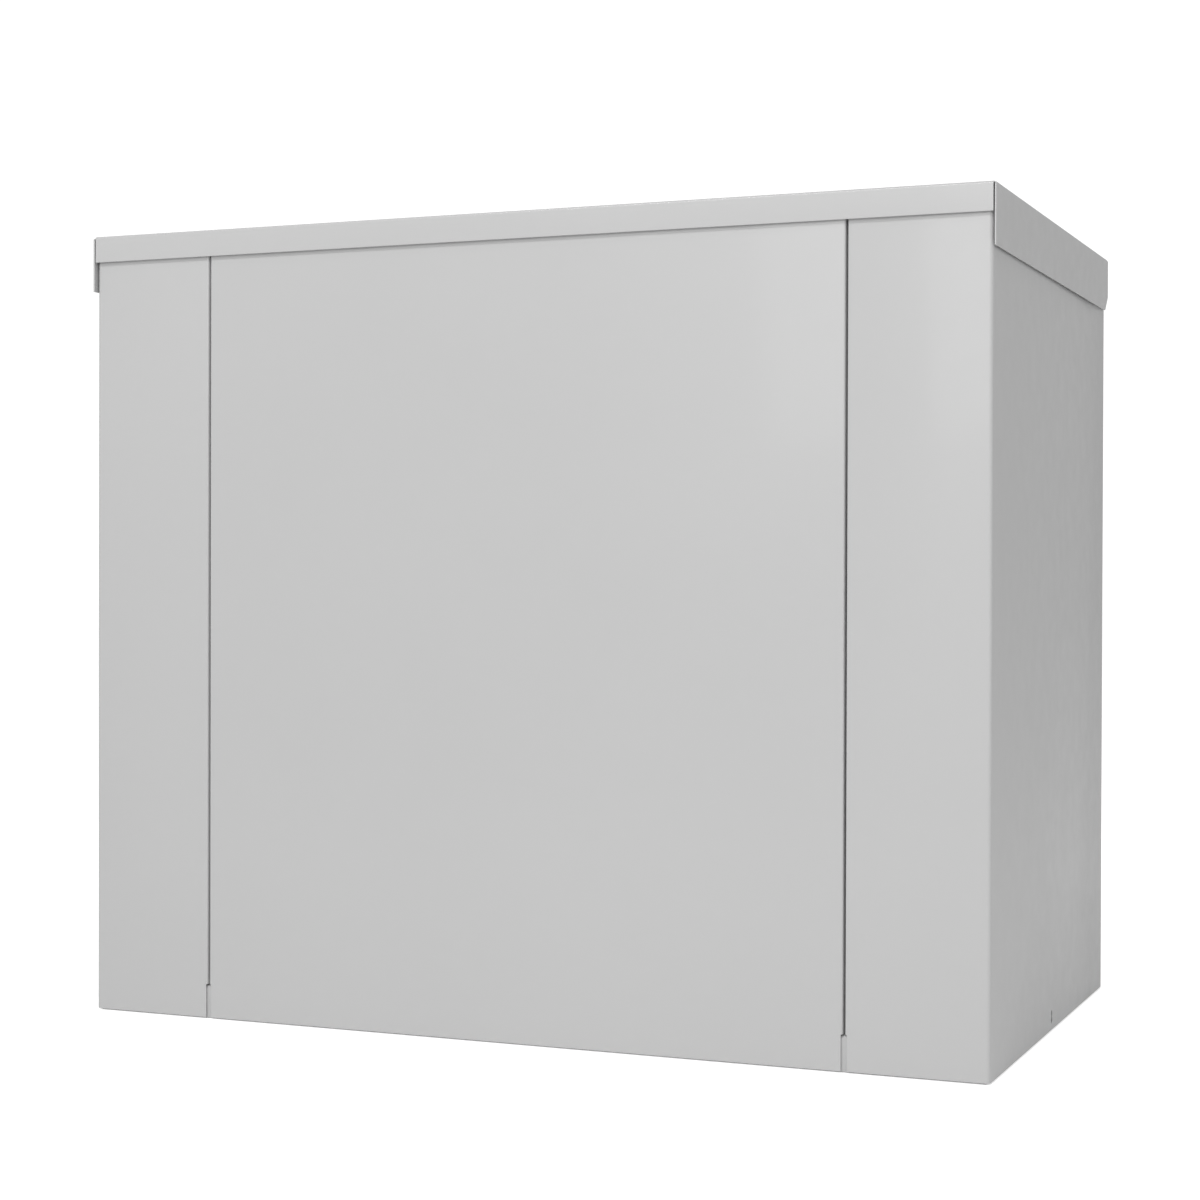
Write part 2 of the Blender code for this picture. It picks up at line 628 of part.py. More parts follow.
def hinge(label, x):
    """Butt hinge: two knuckles on the body leaf, one on the lid leaf, and the pin."""
    third = HINGE_LENGTH / 3
    axis = (x, HINGE_Y, HINGE_Z)
    back, flange = HALF_Y + GAP, HALF_Y + LID_REACH + GAP
    ends = [x - HINGE_LENGTH / 2, x - third / 2, x + third / 2, x + HINGE_LENGTH / 2]
    body = blocks("hinge_body_leaf_" + label, "powder_coat", (
        (ends[0], back, HINGE_Z - HINGE_DROP), (ends[3], back + LEAF, HINGE_Z)))
    cover = blocks("hinge_lid_leaf_" + label, "powder_coat", (
        (ends[0], flange, HINGE_Z + 0.0002), (ends[3], flange + LEAF, HEIGHT - 0.004)),
        origin=axis)
    knuckle_runs = [(ends[0], ends[1] - GAP), (ends[2] + GAP, ends[3])]
    for number, (start, end) in enumerate(knuckle_runs):
        knuckle = rods("body_knuckle_%s_%d" % (label, number), None,
                       ((start, HINGE_Y, HINGE_Z), (end, HINGE_Y, HINGE_Z), KNUCKLE))
        join(body, knuckle)
        web = blocks("body_web_%s_%d" % (label, number), None, (
            (start, back, HINGE_Z - KNUCKLE), (end, HINGE_Y, HINGE_Z - KNUCKLE + LEAF)))
        join(body, web)
        room = rods("lid_leaf_room_%s_%d" % (label, number), None, (
            (start - 0.001, HINGE_Y, HINGE_Z), (end + 0.0006, HINGE_Y, HINGE_Z),
            KNUCKLE + KNUCKLE_ROOM))
        cut(cover, room)
    knuckle = rods("lid_knuckle_" + label, None,
                   ((ends[1] + GAP, HINGE_Y, HINGE_Z), (ends[2] - GAP, HINGE_Y, HINGE_Z),
                    KNUCKLE))
    join(cover, knuckle)
    room = rods("body_leaf_room_" + label, None, (
        (ends[1] - 0.0001, HINGE_Y, HINGE_Z), (ends[2] + 0.0001, HINGE_Y, HINGE_Z),
        KNUCKLE + KNUCKLE_ROOM))
    cut(body, room)
    bore = ((x - HINGE_LENGTH, HINGE_Y, HINGE_Z), (x + HINGE_LENGTH, HINGE_Y, HINGE_Z))
    for part in (body, cover):
        cut(part, rods(part.name + "_bore", None, (*bore, HINGE_PIN + HINGE_PLAY)))
    reach = HINGE_LENGTH / 2 + 0.002
    rods("hinge_pin_" + label, "zinc", ((x - reach, HINGE_Y, HINGE_Z),
                                        (x + reach, HINGE_Y, HINGE_Z), HINGE_PIN))


# --- Lid hardware -------------------------------------------------------------------

def lid_lock():
    """Quarter-turn lock in the left end wall, its cam and the catch under the lid.

    Unlocked, the cam points up; a quarter turn lays it over the catch's ledge.
    """
    face = -HALF_X
    axis = (face, 0.0, LOCK_Z)
    cam_x = face + CAM_INSIDE
    barrel = rods("lock_barrel", "zinc",
                  ((face - 0.004, 0.0, LOCK_Z), (face - GAP, 0.0, LOCK_Z), LOCK_R + 0.002),
                  sides=24, origin=axis)
    stem = rods("lock_stem", None, ((face - 0.002, 0.0, LOCK_Z),
                                    (cam_x - GAP, 0.0, LOCK_Z), LOCK_R - 0.002), sides=24)
    join(barrel, stem)
    key = blocks("lock_key_slot", None, ((face - 0.006, -0.001, LOCK_Z - 0.005),
                                         (face - 0.0025, 0.001, LOCK_Z + 0.005)))
    cut(barrel, key)
    rounded_block("lock_cam", "zinc", (cam_x, -CAM_HALF, LOCK_Z - CAM_HALF),
                  (cam_x + CAM_THICK, CAM_HALF, LOCK_Z + CAM_LENGTH), 0.001, 1, origin=axis)
    plate_x, ledge_z = face + RIM_FLANGE + 0.006, LOCK_Z - CAM_HALF - 0.001
    across = (0.002 - CAM_LENGTH, -CAM_HALF - 0.006)
    hook = blocks("lock_striker", "zinc", ((plate_x, across[0], ledge_z - CATCH),
                                           (plate_x + CATCH, across[1], UNDER_LID)))
    join(hook, blocks("striker_ledge", None, (
        (plate_x + CATCH / 2, across[0], ledge_z - CATCH),
        (cam_x + CAM_THICK + 0.002, across[1], ledge_z))))
    join(hook, blocks("striker_foot", None, (
        (plate_x + CATCH / 2, across[0], UNDER_LID - CATCH),
        (plate_x + 0.018, across[1], UNDER_LID))))


def prop_reach():
    """Rod length that holds the lid open at LID_OPEN on the keeper."""
    y, z = PROP_PIVOT[0] - HINGE_Y, PROP_PIVOT[1] - HINGE_Z
    raised_y = HINGE_Y + y * math.cos(LID_OPEN) + z * math.sin(LID_OPEN)
    raised_z = HINGE_Z - y * math.sin(LID_OPEN) + z * math.cos(LID_OPEN)
    return math.hypot(raised_y - PROP_REST[0], raised_z - PROP_REST[1])


def bent(points, radius, steps=4):
    """Replace each inner corner of a route by an arc."""
    points = [Vector(point) for point in points]
    path = [points[0]]
    for before, corner, after in zip(points, points[1:], points[2:]):
        into, out = (corner - before).normalized(), (after - corner).normalized()
        for step in range(steps + 1):
            angle = QUARTER * step / steps
            path.append(corner - into * radius * (1 - math.sin(angle))
                        + out * radius * (1 - math.cos(angle)))
    return path + [points[-1]]


def prop():
    """Prop rod under the lid; its bent end stands in a keeper inside the right end wall."""
    y, z = PROP_PIVOT
    axis = (PROP_X, y, z)
    end = y + prop_reach()
    rod = tube("prop_rod", "zinc", bent([(PROP_X - 0.014, y, z), (PROP_X, y, z),
                                         (PROP_X, end, z), (PROP_X + PROP_HOOK, end, z)],
                                        PROP_R * 1.3), PROP_R, 2)
    rod.data.transform(Matrix.Translation(-Vector(axis)))
    rod.location = axis
    near = PROP_X - 0.011
    bracket = blocks("prop_bracket", "zinc", ((near, y - 0.009, z - 0.008),
                                              (near + CATCH, y + 0.009, UNDER_LID)))
    join(bracket, blocks("prop_bracket_foot", None, (
        (near + CATCH / 2, y - 0.009, UNDER_LID - CATCH),
        (near + 0.018, y + 0.009, UNDER_LID))))
    cut(bracket, rods("prop_bracket_hole", None, ((near - 0.01, y, z), (near + 0.01, y, z),
                                                  PROP_R + 0.0006)))
    rest_y, rest_z = PROP_REST
    outer = HALF_X - SHEET - GAP
    inner = PROP_X + PROP_R + 0.0015
    keeper = blocks("prop_keeper", "zinc", ((inner, rest_y - 0.012, rest_z - 0.012),
                                            (inner + CATCH, rest_y + 0.012, rest_z + 0.006)))
    join(keeper, blocks("prop_keeper_arm", None, (
        (inner + CATCH / 2, rest_y - 0.012, rest_z - 0.012),
        (outer, rest_y + 0.012, rest_z - 0.009))))
    cut(keeper, blocks("prop_keeper_notch", None, (
        (inner - 0.01, rest_y - PROP_R - 0.001, rest_z - PROP_R - 0.0008),
        (inner + 0.004, rest_y + PROP_R + 0.001, rest_z + 0.02))))


def bulkhead():
    """Wall between the engine and the electrical compartment, with its foot and a cable hole."""
    reach = HALF_Y - SEAM_FLANGE - 0.004
    wall = blocks("bulkhead", "powder_coat", ((BULKHEAD_X, -reach, FLOOR_Z),
                                              (BULKHEAD_X + SHEET, reach, BULKHEAD_TOP)))
    join(wall, blocks("bulkhead_foot", None, (
        (BULKHEAD_X - BULKHEAD_FOOT, -reach, FLOOR_Z),
        (BULKHEAD_X + SHEET / 2, reach, FLOOR_Z + SHEET))))
    y, z, radius = CABLE_HOLE
    cut(wall, rods("bulkhead_hole", None, ((BULKHEAD_X - 0.01, y, z),
                                           (BULKHEAD_X + 0.01, y, z), radius)))


def cradle():
    """Two rails and two cross members on four rubber isolators."""
    rails = [((CASE_X[0] - 0.012, side * CRADLE_Y + CRANK_Y - CRADLE_W / 2, CRADLE_Z),
              (BELL_X[1] - 0.004, side * CRADLE_Y + CRANK_Y + CRADLE_W / 2, CRADLE_Z + CRADLE_T))
             for side in (-1, 1)]
    frame = blocks("engine_cradle", "dark_steel", rails[0])
    join(frame, blocks("cradle_rail_back", None, rails[1]))
    for number, x in enumerate(CROSS_X):
        join(frame, blocks("cradle_cross_%d" % number, None, (
            (x - CROSS_HALF, -CRADLE_Y + CRANK_Y, CRADLE_Z + 0.004),
            (x + CROSS_HALF, CRADLE_Y + CRANK_Y, CRADLE_Z + CRADLE_T - 0.004))))
    for x_name, x in ISOLATOR_X:
        for y_name, side in (("front", -1), ("back", 1)):
            y = CRANK_Y + side * CRADLE_Y
            profile = [(0.0, ISOLATOR_H), (ISOLATOR_R * 0.8, ISOLATOR_H),
                       (ISOLATOR_R * 0.72, ISOLATOR_H / 2), (ISOLATOR_R, 0.003),
                       (ISOLATOR_R, 0.0), (0.0, 0.0)]
            turned("isolator_%s_%s" % (x_name, y_name), "rubber", profile,
                   Matrix.Translation((x, y, FLOOR_Z)), 16)


# --- Engine -------------------------------------------------------------------------
def crank_place():
    """Frame whose +Z runs along the crankshaft, towards the alternator."""
    return Matrix.Translation((0.0, CRANK_Y, CRANK_Z)) @ Matrix.Rotation(QUARTER, 4, "Y")


def crankcase():
    """Cast case with feet, the crankshaft's bore, the cylinder's pedestal and the oil boss."""
    case = rounded_block("crankcase", "cast_aluminium",
                         (CASE_X[0], CRANK_Y - CASE_HALF_Y, CASE_Z[0]),
                         (CASE_X[1], CRANK_Y + CASE_HALF_Y, CASE_Z[1]), 0.010, 2)
    join(case, blocks("case_feet", None, (
        (CASE_X[0] + 0.012, CRANK_Y - CRADLE_Y - 0.020, FEET_Z),
        (CASE_X[1] - 0.012, CRANK_Y + CRADLE_Y + 0.020, CASE_Z[0] + 0.010))))
    cut(case, rods("case_bore", None, ((CASE_X[0] - 0.01, CRANK_Y, CRANK_Z),
                                       (CASE_X[1] + 0.01, CRANK_Y, CRANK_Z), CRANK_R + RUN),
                   sides=32))
    pedestal = rods("case_pedestal", None, ((0.0, 0.0, 0.030), (0.0, 0.0, DECK), BORE_R + 0.010),
                    sides=24)
    pedestal.matrix_world = cylinder_place()
    join(case, pedestal)
    join(case, rods("dipstick_boss", None, ((*DIP, CASE_Z[1] - 0.01), (*DIP, DIP_TOP), 0.011)))
    cut(case, rods("dipstick_hole", None, ((*DIP, CASE_Z[0] + 0.02), (*DIP, DIP_TOP + 0.01),
                                           DIP_ROD + 0.0012)))


def cylinder_place():
    """Frame whose +Z runs up the leaning cylinder from the crankshaft."""
    place = Matrix.Translation((CYL_X, CRANK_Y, CRANK_Z))
    return place @ Matrix.Rotation(-LEAN, 4, "X")


def finned_profile(radius, fin_radius, count, pitch, thick, length):
    """Outline of a finned barrel, top to bottom, closed on the axis."""
    points = [(0.0, length), (radius, length)]
    for fin in reversed(range(count)):
        middle = (fin + 0.8) * pitch
        points += [(radius, middle + thick / 2), (fin_radius, middle + thick * 0.35),
                   (fin_radius, middle - thick * 0.35), (radius, middle - thick / 2)]
    return points + [(radius, 0.0), (0.0, 0.0)]


def cylinder():
    """Finned barrel on the pedestal."""
    place = cylinder_place() @ Matrix.Translation((0.0, 0.0, DECK + GAP))
    turned("cylinder", "cast_aluminium", finned_profile(
        BORE_R, FIN_R, FIN_COUNT, FIN_PITCH, FIN_THICK, BARREL), place, 24)


def placed(part, place):
    """Move a part made round the origin into a frame."""
    part.matrix_world = place @ part.matrix_world
    return part


def cylinder_head():
    """Finned head, its cover and the spark plug in its front face."""
    half_x, half_y = HEAD_HALF
    place = cylinder_place()
    core = blocks("cylinder_head", "cast_aluminium", (
        (-half_x * 0.8, -half_y * 0.8, HEAD_AT), (half_x * 0.8, half_y * 0.8,
                                                  HEAD_AT + HEAD_THICK)))
    fins = bmesh.new()
    for fin in range(4):
        z = HEAD_AT + fin * HEAD_FIN_PITCH + 0.0008
        add_block(fins, (-half_x, -half_y, z), (half_x, half_y, z + FIN_THICK))
    fins = add("head_fins", fins, None)
    join(core, fins)
    z = HEAD_AT + PLUG_HIGH
    plug = rods("plug_hole", None, ((0.0, -half_y - 0.02, z), (0.0, -0.020, z), 0.0105))
    cut(core, plug)
    for part in (core, fins, plug):
        placed(part, place)
    cover = rounded_block("rocker_cover", "engine_black",
                          (-half_x * 0.86, -half_y * 0.86, COVER_AT),
                          (half_x * 0.86, half_y * 0.86, COVER_AT + COVER_THICK), 0.008, 3)
    placed(cover, place)
    lay = place @ Matrix.Translation((0.0, -0.022, z)) @ Matrix.Rotation(QUARTER, 4, "X")
    profile = [(0.0, 0.078), (0.0035, 0.078), (0.0035, 0.066), (0.0065, 0.062), (0.0065, 0.034),
               (0.0095, 0.034), (0.0095, 0.024), (0.0070, 0.024), (0.0070, 0.0), (0.0, 0.0)]
    turned("spark_plug", "ceramic_white", profile, lay, 12)


def turning_group():
    """Flywheel fan, crankshaft and alternator rotor, which turn as one."""
    to_x = crank_place()
    disc = [(FAN_R * 0.86, FAN_X[1]), (FAN_R * 0.86, FAN_X[1] - 0.020),
            (0.030, FAN_X[1] - 0.020), (0.030, FAN_X[1] - 0.008),
            (CRANK_R + GAP, FAN_X[1] - 0.008), (CRANK_R + GAP, FAN_X[1])]
    wheel = turned("flywheel", "cast_aluminium", disc, to_x, 32)
    blades = bmesh.new()
    for number in range(FAN_BLADES):
        angle = 2 * math.pi * number / FAN_BLADES
        place = to_x @ Matrix.Rotation(angle, 4, "Z")
        place = place @ Matrix.Translation((FAN_R * 0.72, 0.0, (FAN_X[0] + FAN_X[1]) / 2 - 0.006))
        place = place @ Matrix.Rotation(math.radians(25.0), 4, "Z")
        size = Matrix.Diagonal((FAN_R * 0.40, 0.0035, 0.026, 1.0))
        bmesh.ops.create_cube(blades, size=1.0, matrix=place @ size)
    join(wheel, add("fan_blades", blades, None))
    shaft = [(0.0, BELL_X[1] - 0.010), (CRANK_R, BELL_X[1] - 0.010),
             (CRANK_R, FAN_X[0] + 0.002), (0.0, FAN_X[0] + 0.002)]
    turned("crankshaft", "zinc", shaft, to_x, 32)
    rotor_x = (STATOR_X[0] + ROTOR_INSET[0], STATOR_X[1] - ROTOR_INSET[1])
    core = [(ROTOR_R, rotor_x[1]), (ROTOR_R, rotor_x[0]),
            (CRANK_R + GAP, rotor_x[0]), (CRANK_R + GAP, rotor_x[1])]
    turned("rotor", "copper", core, to_x, 32)
    fan_x = ADAPTER_X[1] - 0.010
    fan = [(ROTOR_R + 0.004, fan_x), (ROTOR_R + 0.004, fan_x - 0.006),
           (CRANK_R + GAP, fan_x - 0.020), (CRANK_R + GAP, fan_x)]
    turned("alternator_fan", "black_plastic", fan, to_x, 32)


def housings():
    """Blower housing, adapter, stator on its foot, and the end bell."""
    to_x = crank_place()
    shroud = [(SHROUD_R, SHROUD_X[1]), (SHROUD_R, SHROUD_X[0] + 0.012),
              (SHROUD_R - 0.012, SHROUD_X[0]), (SHROUD_MOUTH, SHROUD_X[0]),
              (SHROUD_MOUTH, SHROUD_X[0] + 0.003), (SHROUD_R - 0.014, SHROUD_X[0] + 0.003),
              (SHROUD_R - 0.003, SHROUD_X[0] + 0.014), (SHROUD_R - 0.003, SHROUD_X[1])]
    turned("blower_housing", "engine_black", shroud, to_x, 40)
    inside = ADAPTER_R - 0.008
    adapter = [(ADAPTER_R, ADAPTER_X[1]), (ADAPTER_R, ADAPTER_X[0]), (0.030, ADAPTER_X[0]),
               (0.030, ADAPTER_X[0] + 0.006), (inside, ADAPTER_X[0] + 0.010),
               (inside, ADAPTER_X[1])]
    case = turned("adapter_housing", "cast_aluminium", adapter, to_x, 32)
    windows = bmesh.new()
    for number in range(ADAPTER_WINDOWS):
        angle = 2 * math.pi * (number + 0.5) / ADAPTER_WINDOWS
        place = to_x @ Matrix.Rotation(angle, 4, "Z")
        place = place @ Matrix.Translation((ADAPTER_R - 0.004, 0.0, ADAPTER_X[1] - 0.018))
        bmesh.ops.create_cube(windows, size=1.0,
                              matrix=place @ Matrix.Diagonal((0.03, 0.042, 0.016, 1.0)))
    cut(case, add("adapter_windows", windows, None))
    inner = STATOR_R - STATOR_WALL
    stator = turned("stator_housing", "dark_steel", [
        (STATOR_R, STATOR_X[1]), (STATOR_R, STATOR_X[0]),
        (inner, STATOR_X[0]), (inner, STATOR_X[1])], to_x, 40)
    left, right = STATOR_FOOT_X
    feet = blocks("stator_feet", None, (
        (left, CRANK_Y - CRADLE_Y - 0.012, FEET_Z),
        (right, CRANK_Y + CRADLE_Y + 0.012, FEET_Z + 0.008)))
    pillar = blocks("stator_pillar", None, (
        (left + 0.005, CRANK_Y - 0.055, FEET_Z + 0.004),
        (right - 0.005, CRANK_Y + 0.055, CRANK_Z - STATOR_R + 0.018)))
    join(feet, pillar)
    join(stator, feet)
    bell = [(0.0, BELL_X[1]), (0.050, BELL_X[1]), (STATOR_R - 0.006, BELL_X[1] - 0.012),
            (STATOR_R - 0.002, BELL_X[0]), (CRANK_R + RUN, BELL_X[0]),
            (CRANK_R + RUN, BELL_X[1] - 0.006), (0.0, BELL_X[1] - 0.006)]
    turned("end_bell", "cast_aluminium", bell, to_x, 32)


# --- Intake and exhaust -------------------------------------------------------------
def port(side):
    """Middle of the cylinder head's intake (+1) or exhaust (-1) face."""
    middle = cylinder_place() @ Vector((0.0, 0.0, HEAD_AT + HEAD_THICK / 2))
    return Vector((CYL_X + side * (HEAD_HALF[0] + GAP), middle.y, middle.z))


def intake():
    """Gas mixer with its throttle, the governor's arm and the air cleaner."""
    start = port(1)
    end = start + Vector((MIXER_LENGTH, 0.0, 0.0))
    body = rods("mixer", "cast_aluminium", (start, end, MIXER_R), sides=20)
    flange = blocks("mixer_flange", None, (start - Vector((0, 0.032, 0.020)),
                                           start + Vector((0.007, 0.032, 0.020))))
    join(body, flange)
    boss = start + Vector((THROTTLE_X, 0.0, 0.0))
    top = boss + Vector((0.0, 0.0, MIXER_R + 0.007))
    join(body, rods("mixer_boss", None, (boss, top, 0.008)))
    nozzle = boss + Vector((0.0, MIXER_R + NOZZLE_REACH, 0.0))
    join(body, rods("mixer_nozzle", None, (boss, nozzle, HOSE_R)))
    throat = rods("mixer_throat", None, (start - Vector((0.01, 0, 0)),
                                         end + Vector((0.01, 0, 0)), THROAT_R), sides=20)
    cut(body, throat)
    lever("throttle_lever", top + Vector((0.0, 0.0, GAP)), (1.0, 0.0), THROTTLE_REACH)
    arm = Vector((CASE_X[1] - 0.014, CRANK_Y + 0.080, CASE_Z[1] + GAP))
    lever("governor_arm", arm, (1.0, 0.0), GOVERNOR_REACH)
    low = end + Vector((GAP, -CLEANER[1] / 2, -CLEANER_DROP))
    box = rounded_block("air_cleaner", "black_plastic", low, low + Vector(CLEANER), 0.010, 2)
    cut(box, rods("cleaner_inlet", None, (end - Vector((0.01, 0, 0)),
                                          end + Vector((0.05, 0, 0)), THROAT_R), sides=20))


def lever(name, foot, heading, reach):
    """Flat lever on a short hub, turning about a vertical shaft."""
    heading = Vector((*heading, 0.0))
    across = Vector((-heading.y, heading.x, 0.0)) * LEVER_HALF
    hub = rods(name, "zinc", (foot, foot + Vector((0, 0, 0.012)), 0.007), origin=foot)
    low, high = foot - across, foot + heading * reach + across
    corner_a = [min(a, b) for a, b in zip(low, high)]
    corner_b = [max(a, b) for a, b in zip(low, high)]
    corner_a[2] = foot.z + 0.006
    corner_b[2] = corner_a[2] + LEVER_THICK
    return join(hub, blocks(name + "_blade", None, (corner_a, corner_b)))


def exhaust():
    """Muffler with its tail pipe, and the bent pipe from the exhaust port."""
    x, z = MUFFLER_AT
    place = Matrix.Translation((x, MUFFLER_HALF, z)) @ Matrix.Rotation(QUARTER, 4, "X")
    length = 2 * MUFFLER_HALF
    profile = [(0.0, length), (MUFFLER_R - 0.006, length), (MUFFLER_R, length - 0.006),
               (MUFFLER_R, 0.006), (MUFFLER_R - 0.006, 0.0), (0.0, 0.0)]
    can = turned("muffler", "aluminised_steel", profile, place, 32)
    start = port(-1)
    collar = Vector((x, start.y, z - MUFFLER_R - 0.008))
    join(can, rods("muffler_collar", None, (collar, collar + Vector((0, 0, 0.03)),
                                            PIPE_R + 0.004), sides=20))
    tail_start = Vector((x - MUFFLER_R + 0.02, TAIL_Y, z))
    tail_end = Vector((-HALF_X - TAIL_OUT, TAIL_Y, z))
    join(can, rods("muffler_tail", None, (tail_start, tail_end, TAIL_R), sides=24))
    cut(can, rods("muffler_tail_bore", None, (tail_start, tail_end - Vector((0.01, 0, 0)),
                                              TAIL_R - TAIL_WALL), sides=24))
    corner = Vector((x, start.y, start.z))
    path = bent([start, corner, collar - Vector((0, 0, GAP))], PIPE_BEND, 5)
    tube("exhaust_pipe", "aluminised_steel", path, PIPE_R, 3)


# --- Engine accessories -------------------------------------------------------------
def accessories():
    """Starter and solenoid, oil filter, and the dipstick with its cap."""
    front = CRANK_Y - CASE_HALF_Y - GAP
    left, y, z = CASE_X[0] + 0.004, front - STARTER_R, STARTER_Z
    motor = rods("starter_motor", "engine_black",
                 ((left, y, z), (left + STARTER_LENGTH, y, z), STARTER_R), sides=24)
    join(motor, rods("starter_solenoid", None, (
        (left + 0.016, y - 0.020, z - 0.040), (left + 0.086, y - 0.020, z - 0.040), SOLENOID_R)))
    place = Matrix.Translation((CASE_X[1] - FILTER_INSET, front, FILTER_Z))
    place = place @ Matrix.Rotation(QUARTER, 4, "X")
    profile = [(0.0, FILTER_LENGTH), (FILTER_R - 0.007, FILTER_LENGTH),
               (FILTER_R, FILTER_LENGTH - 0.008), (FILTER_R, 0.004), (FILTER_R + 0.003, 0.004),
               (FILTER_R + 0.003, 0.0), (0.0, 0.0)]
    turned("oil_filter", "yellow_plastic", profile, place, 24)
    base = Vector((*DIP, DIP_TOP + GAP))
    cap = rods("dipstick", "yellow_plastic", (base, base + Vector((0, 0, 0.010)), 0.013),
               origin=base)
    join(cap, blocks("dipstick_grip", None, (base + Vector((-0.011, -0.003, 0.008)),
                                             base + Vector((0.011, 0.003, 0.024)))))
    join(cap, rods("dipstick_blade", None, (base - Vector((0, 0, DIP_LENGTH)),
                                            base + Vector((0, 0, 0.004)), DIP_ROD)))


# --- Electrical compartment ---------------------------------------------------------
def battery():
    """Starting battery and the strap that holds it down."""
    along_x, along_y, tall = BATTERY
    x, y = BATTERY_AT
    rounded_block("battery", "black_plastic", (x - along_x / 2, y - along_y / 2, FLOOR_Z),
                  (x + along_x / 2, y + along_y / 2, FLOOR_Z + tall), 0.004, 2)
    top, half = FLOOR_Z + tall + GAP, along_y / 2 + GAP
    left, right = x - STRAP_HALF, x + STRAP_HALF
    strap = blocks("battery_strap", "zinc", ((left, y - half - SHEET, top),
                                             (right, y + half + SHEET, top + SHEET)))
    for number, side in enumerate((-1, 1)):
        near, far = sorted((side * half, side * (half + SHEET)))
        join(strap, blocks("strap_leg_%d" % number, None, (
            (left, y + near, FLOOR_Z), (right, y + far, top + SHEET / 2))))
        near, far = sorted((side * (half + SHEET / 2), side * (half + STRAP_FOOT)))
        join(strap, blocks("strap_foot_%d" % number, None, (
            (left, y + near, FLOOR_Z), (right, y + far, FLOOR_Z + SHEET))))


def controls():
    """Control box with its three buttons, and the circuit breaker, on the bulkhead."""
    front, back = BOX_Y - BOX[1] / 2, BOX_Y + BOX[1] / 2
    box = rounded_block("control_box", "grey_plastic", (BOX_LEFT, front, BOX_TOP - BOX[2]),
                        (BOX_LEFT + BOX[0], back, BOX_TOP), 0.004, 2)
    row = front + BUTTON_ROW
    names = (("button_off", "red_plastic"), ("button_auto", "green_plastic"),
             ("button_manual", "yellow_plastic"))
    for number, (name, finish) in enumerate(names):
        x = BOX_LEFT + BOX[0] * (0.25 + 0.25 * number)
        cut(box, rods(name + "_pocket", None, (
            (x, row, BOX_TOP - BUTTON_DEEP - 2 * BUTTON_TRAVEL), (x, row, BOX_TOP + 0.01),
            BUTTON_R + BUTTON_ROOM)))
        rods(name, finish, ((x, row, BOX_TOP - BUTTON_DEEP),
                            (x, row, BOX_TOP + BUTTON_TRAVEL), BUTTON_R),
             origin=(x, row, BOX_TOP))
    low = Vector((BOX_LEFT, BREAKER_Y - BREAKER[1] / 2, BOX_TOP - BREAKER[2]))
    breaker = blocks("breaker", "black_plastic", (low, low + Vector(BREAKER)))
    x = BOX_LEFT + BREAKER[0] / 2
    side = TOGGLE_R + 0.0005
    cut(breaker, blocks("breaker_slot", None, (
        (x - side, BREAKER_Y - 2 * TOGGLE_R, BOX_TOP - 2 * TOGGLE_DROP),
        (x + side, BREAKER_Y + 2 * TOGGLE_R, BOX_TOP + 0.01))))
    pivot = Vector((x, BREAKER_Y, BOX_TOP - TOGGLE_DROP))
    toggle = rods("breaker_toggle", "ceramic_white",
                  ((-TOGGLE_R, 0, 0), (TOGGLE_R, 0, 0), TOGGLE_R))
    handle = blocks("toggle_handle", None, ((-0.007, -0.003, 0.004), (0.007, 0.003, 0.028)))
    for part in (toggle, handle):
        part.matrix_world = Matrix.Translation(pivot) @ Matrix.Rotation(TOGGLE_LEAN, 4, "X")
    join(toggle, handle)


# --- Fuel ---------------------------------------------------------------------------

def fuel():
    """Gas inlet with its shut-off valve, the demand regulator and the hose to the mixer."""
    middle = sum(REGULATOR_Y) / 2
    inlet = rods("fuel_inlet", "brass", ((FUEL_X, HALF_Y + FUEL_OUT, FUEL_Z),
                                         (FUEL_X, middle, FUEL_Z), FUEL_R), sides=16)
    join(inlet, rods("fuel_riser", None, (
        (FUEL_X, middle, FUEL_Z - FUEL_R), (FUEL_X, middle, REGULATOR_Z - REGULATOR_R - GAP),
        FUEL_R), sides=16))
    join(inlet, blocks("valve_block", None, (
        (FUEL_X - VALVE_HALF, VALVE_Y - VALVE_HALF - 0.002, FUEL_Z - VALVE_HALF),
        (FUEL_X + VALVE_HALF, VALVE_Y + VALVE_HALF + 0.002, FUEL_Z + VALVE_HALF))))
    join(inlet, rods("inlet_hex", None, (
        (FUEL_X, HALF_Y + 0.0005, FUEL_Z), (FUEL_X, HALF_Y + FUEL_OUT - 0.002, FUEL_Z), 0.015),
        sides=6))
    foot = Vector((FUEL_X, VALVE_Y, FUEL_Z + VALVE_HALF + GAP))
    lever("fuel_valve_handle", foot, (0.0, -1.0), VALVE_REACH)
    place = Matrix.Translation((FUEL_X, REGULATOR_Y[1], REGULATOR_Z))
    place = place @ Matrix.Rotation(QUARTER, 4, "X")
    deep = REGULATOR_Y[1] - REGULATOR_Y[0]
    profile = [(0.0, deep), (0.020, deep), (0.026, deep - 0.012),
               (REGULATOR_R - 0.010, deep - 0.016), (REGULATOR_R, deep - 0.022),
               (REGULATOR_R, 0.018), (REGULATOR_R - 0.012, 0.012), (0.030, 0.0), (0.0, 0.0)]
    turned("fuel_regulator", "cast_aluminium", profile, place, 28)
    start = Vector((FUEL_X - REGULATOR_R - GAP, middle, REGULATOR_Z))
    nozzle = port(1) + Vector((THROTTLE_X, MIXER_R + NOZZLE_REACH + GAP, 0.0))
    tube("fuel_hose", "rubber", [start, start + Vector((-0.022, 0.0, 0.002)),
                                 Vector((-0.012, 0.145, 0.300)), Vector((-0.034, 0.100, 0.355)),
                                 nozzle + Vector((0.0, 0.040, -0.004)),
                                 nozzle + Vector((0.0, 0.008, 0.0)), nozzle], HOSE_R, 2, 4)


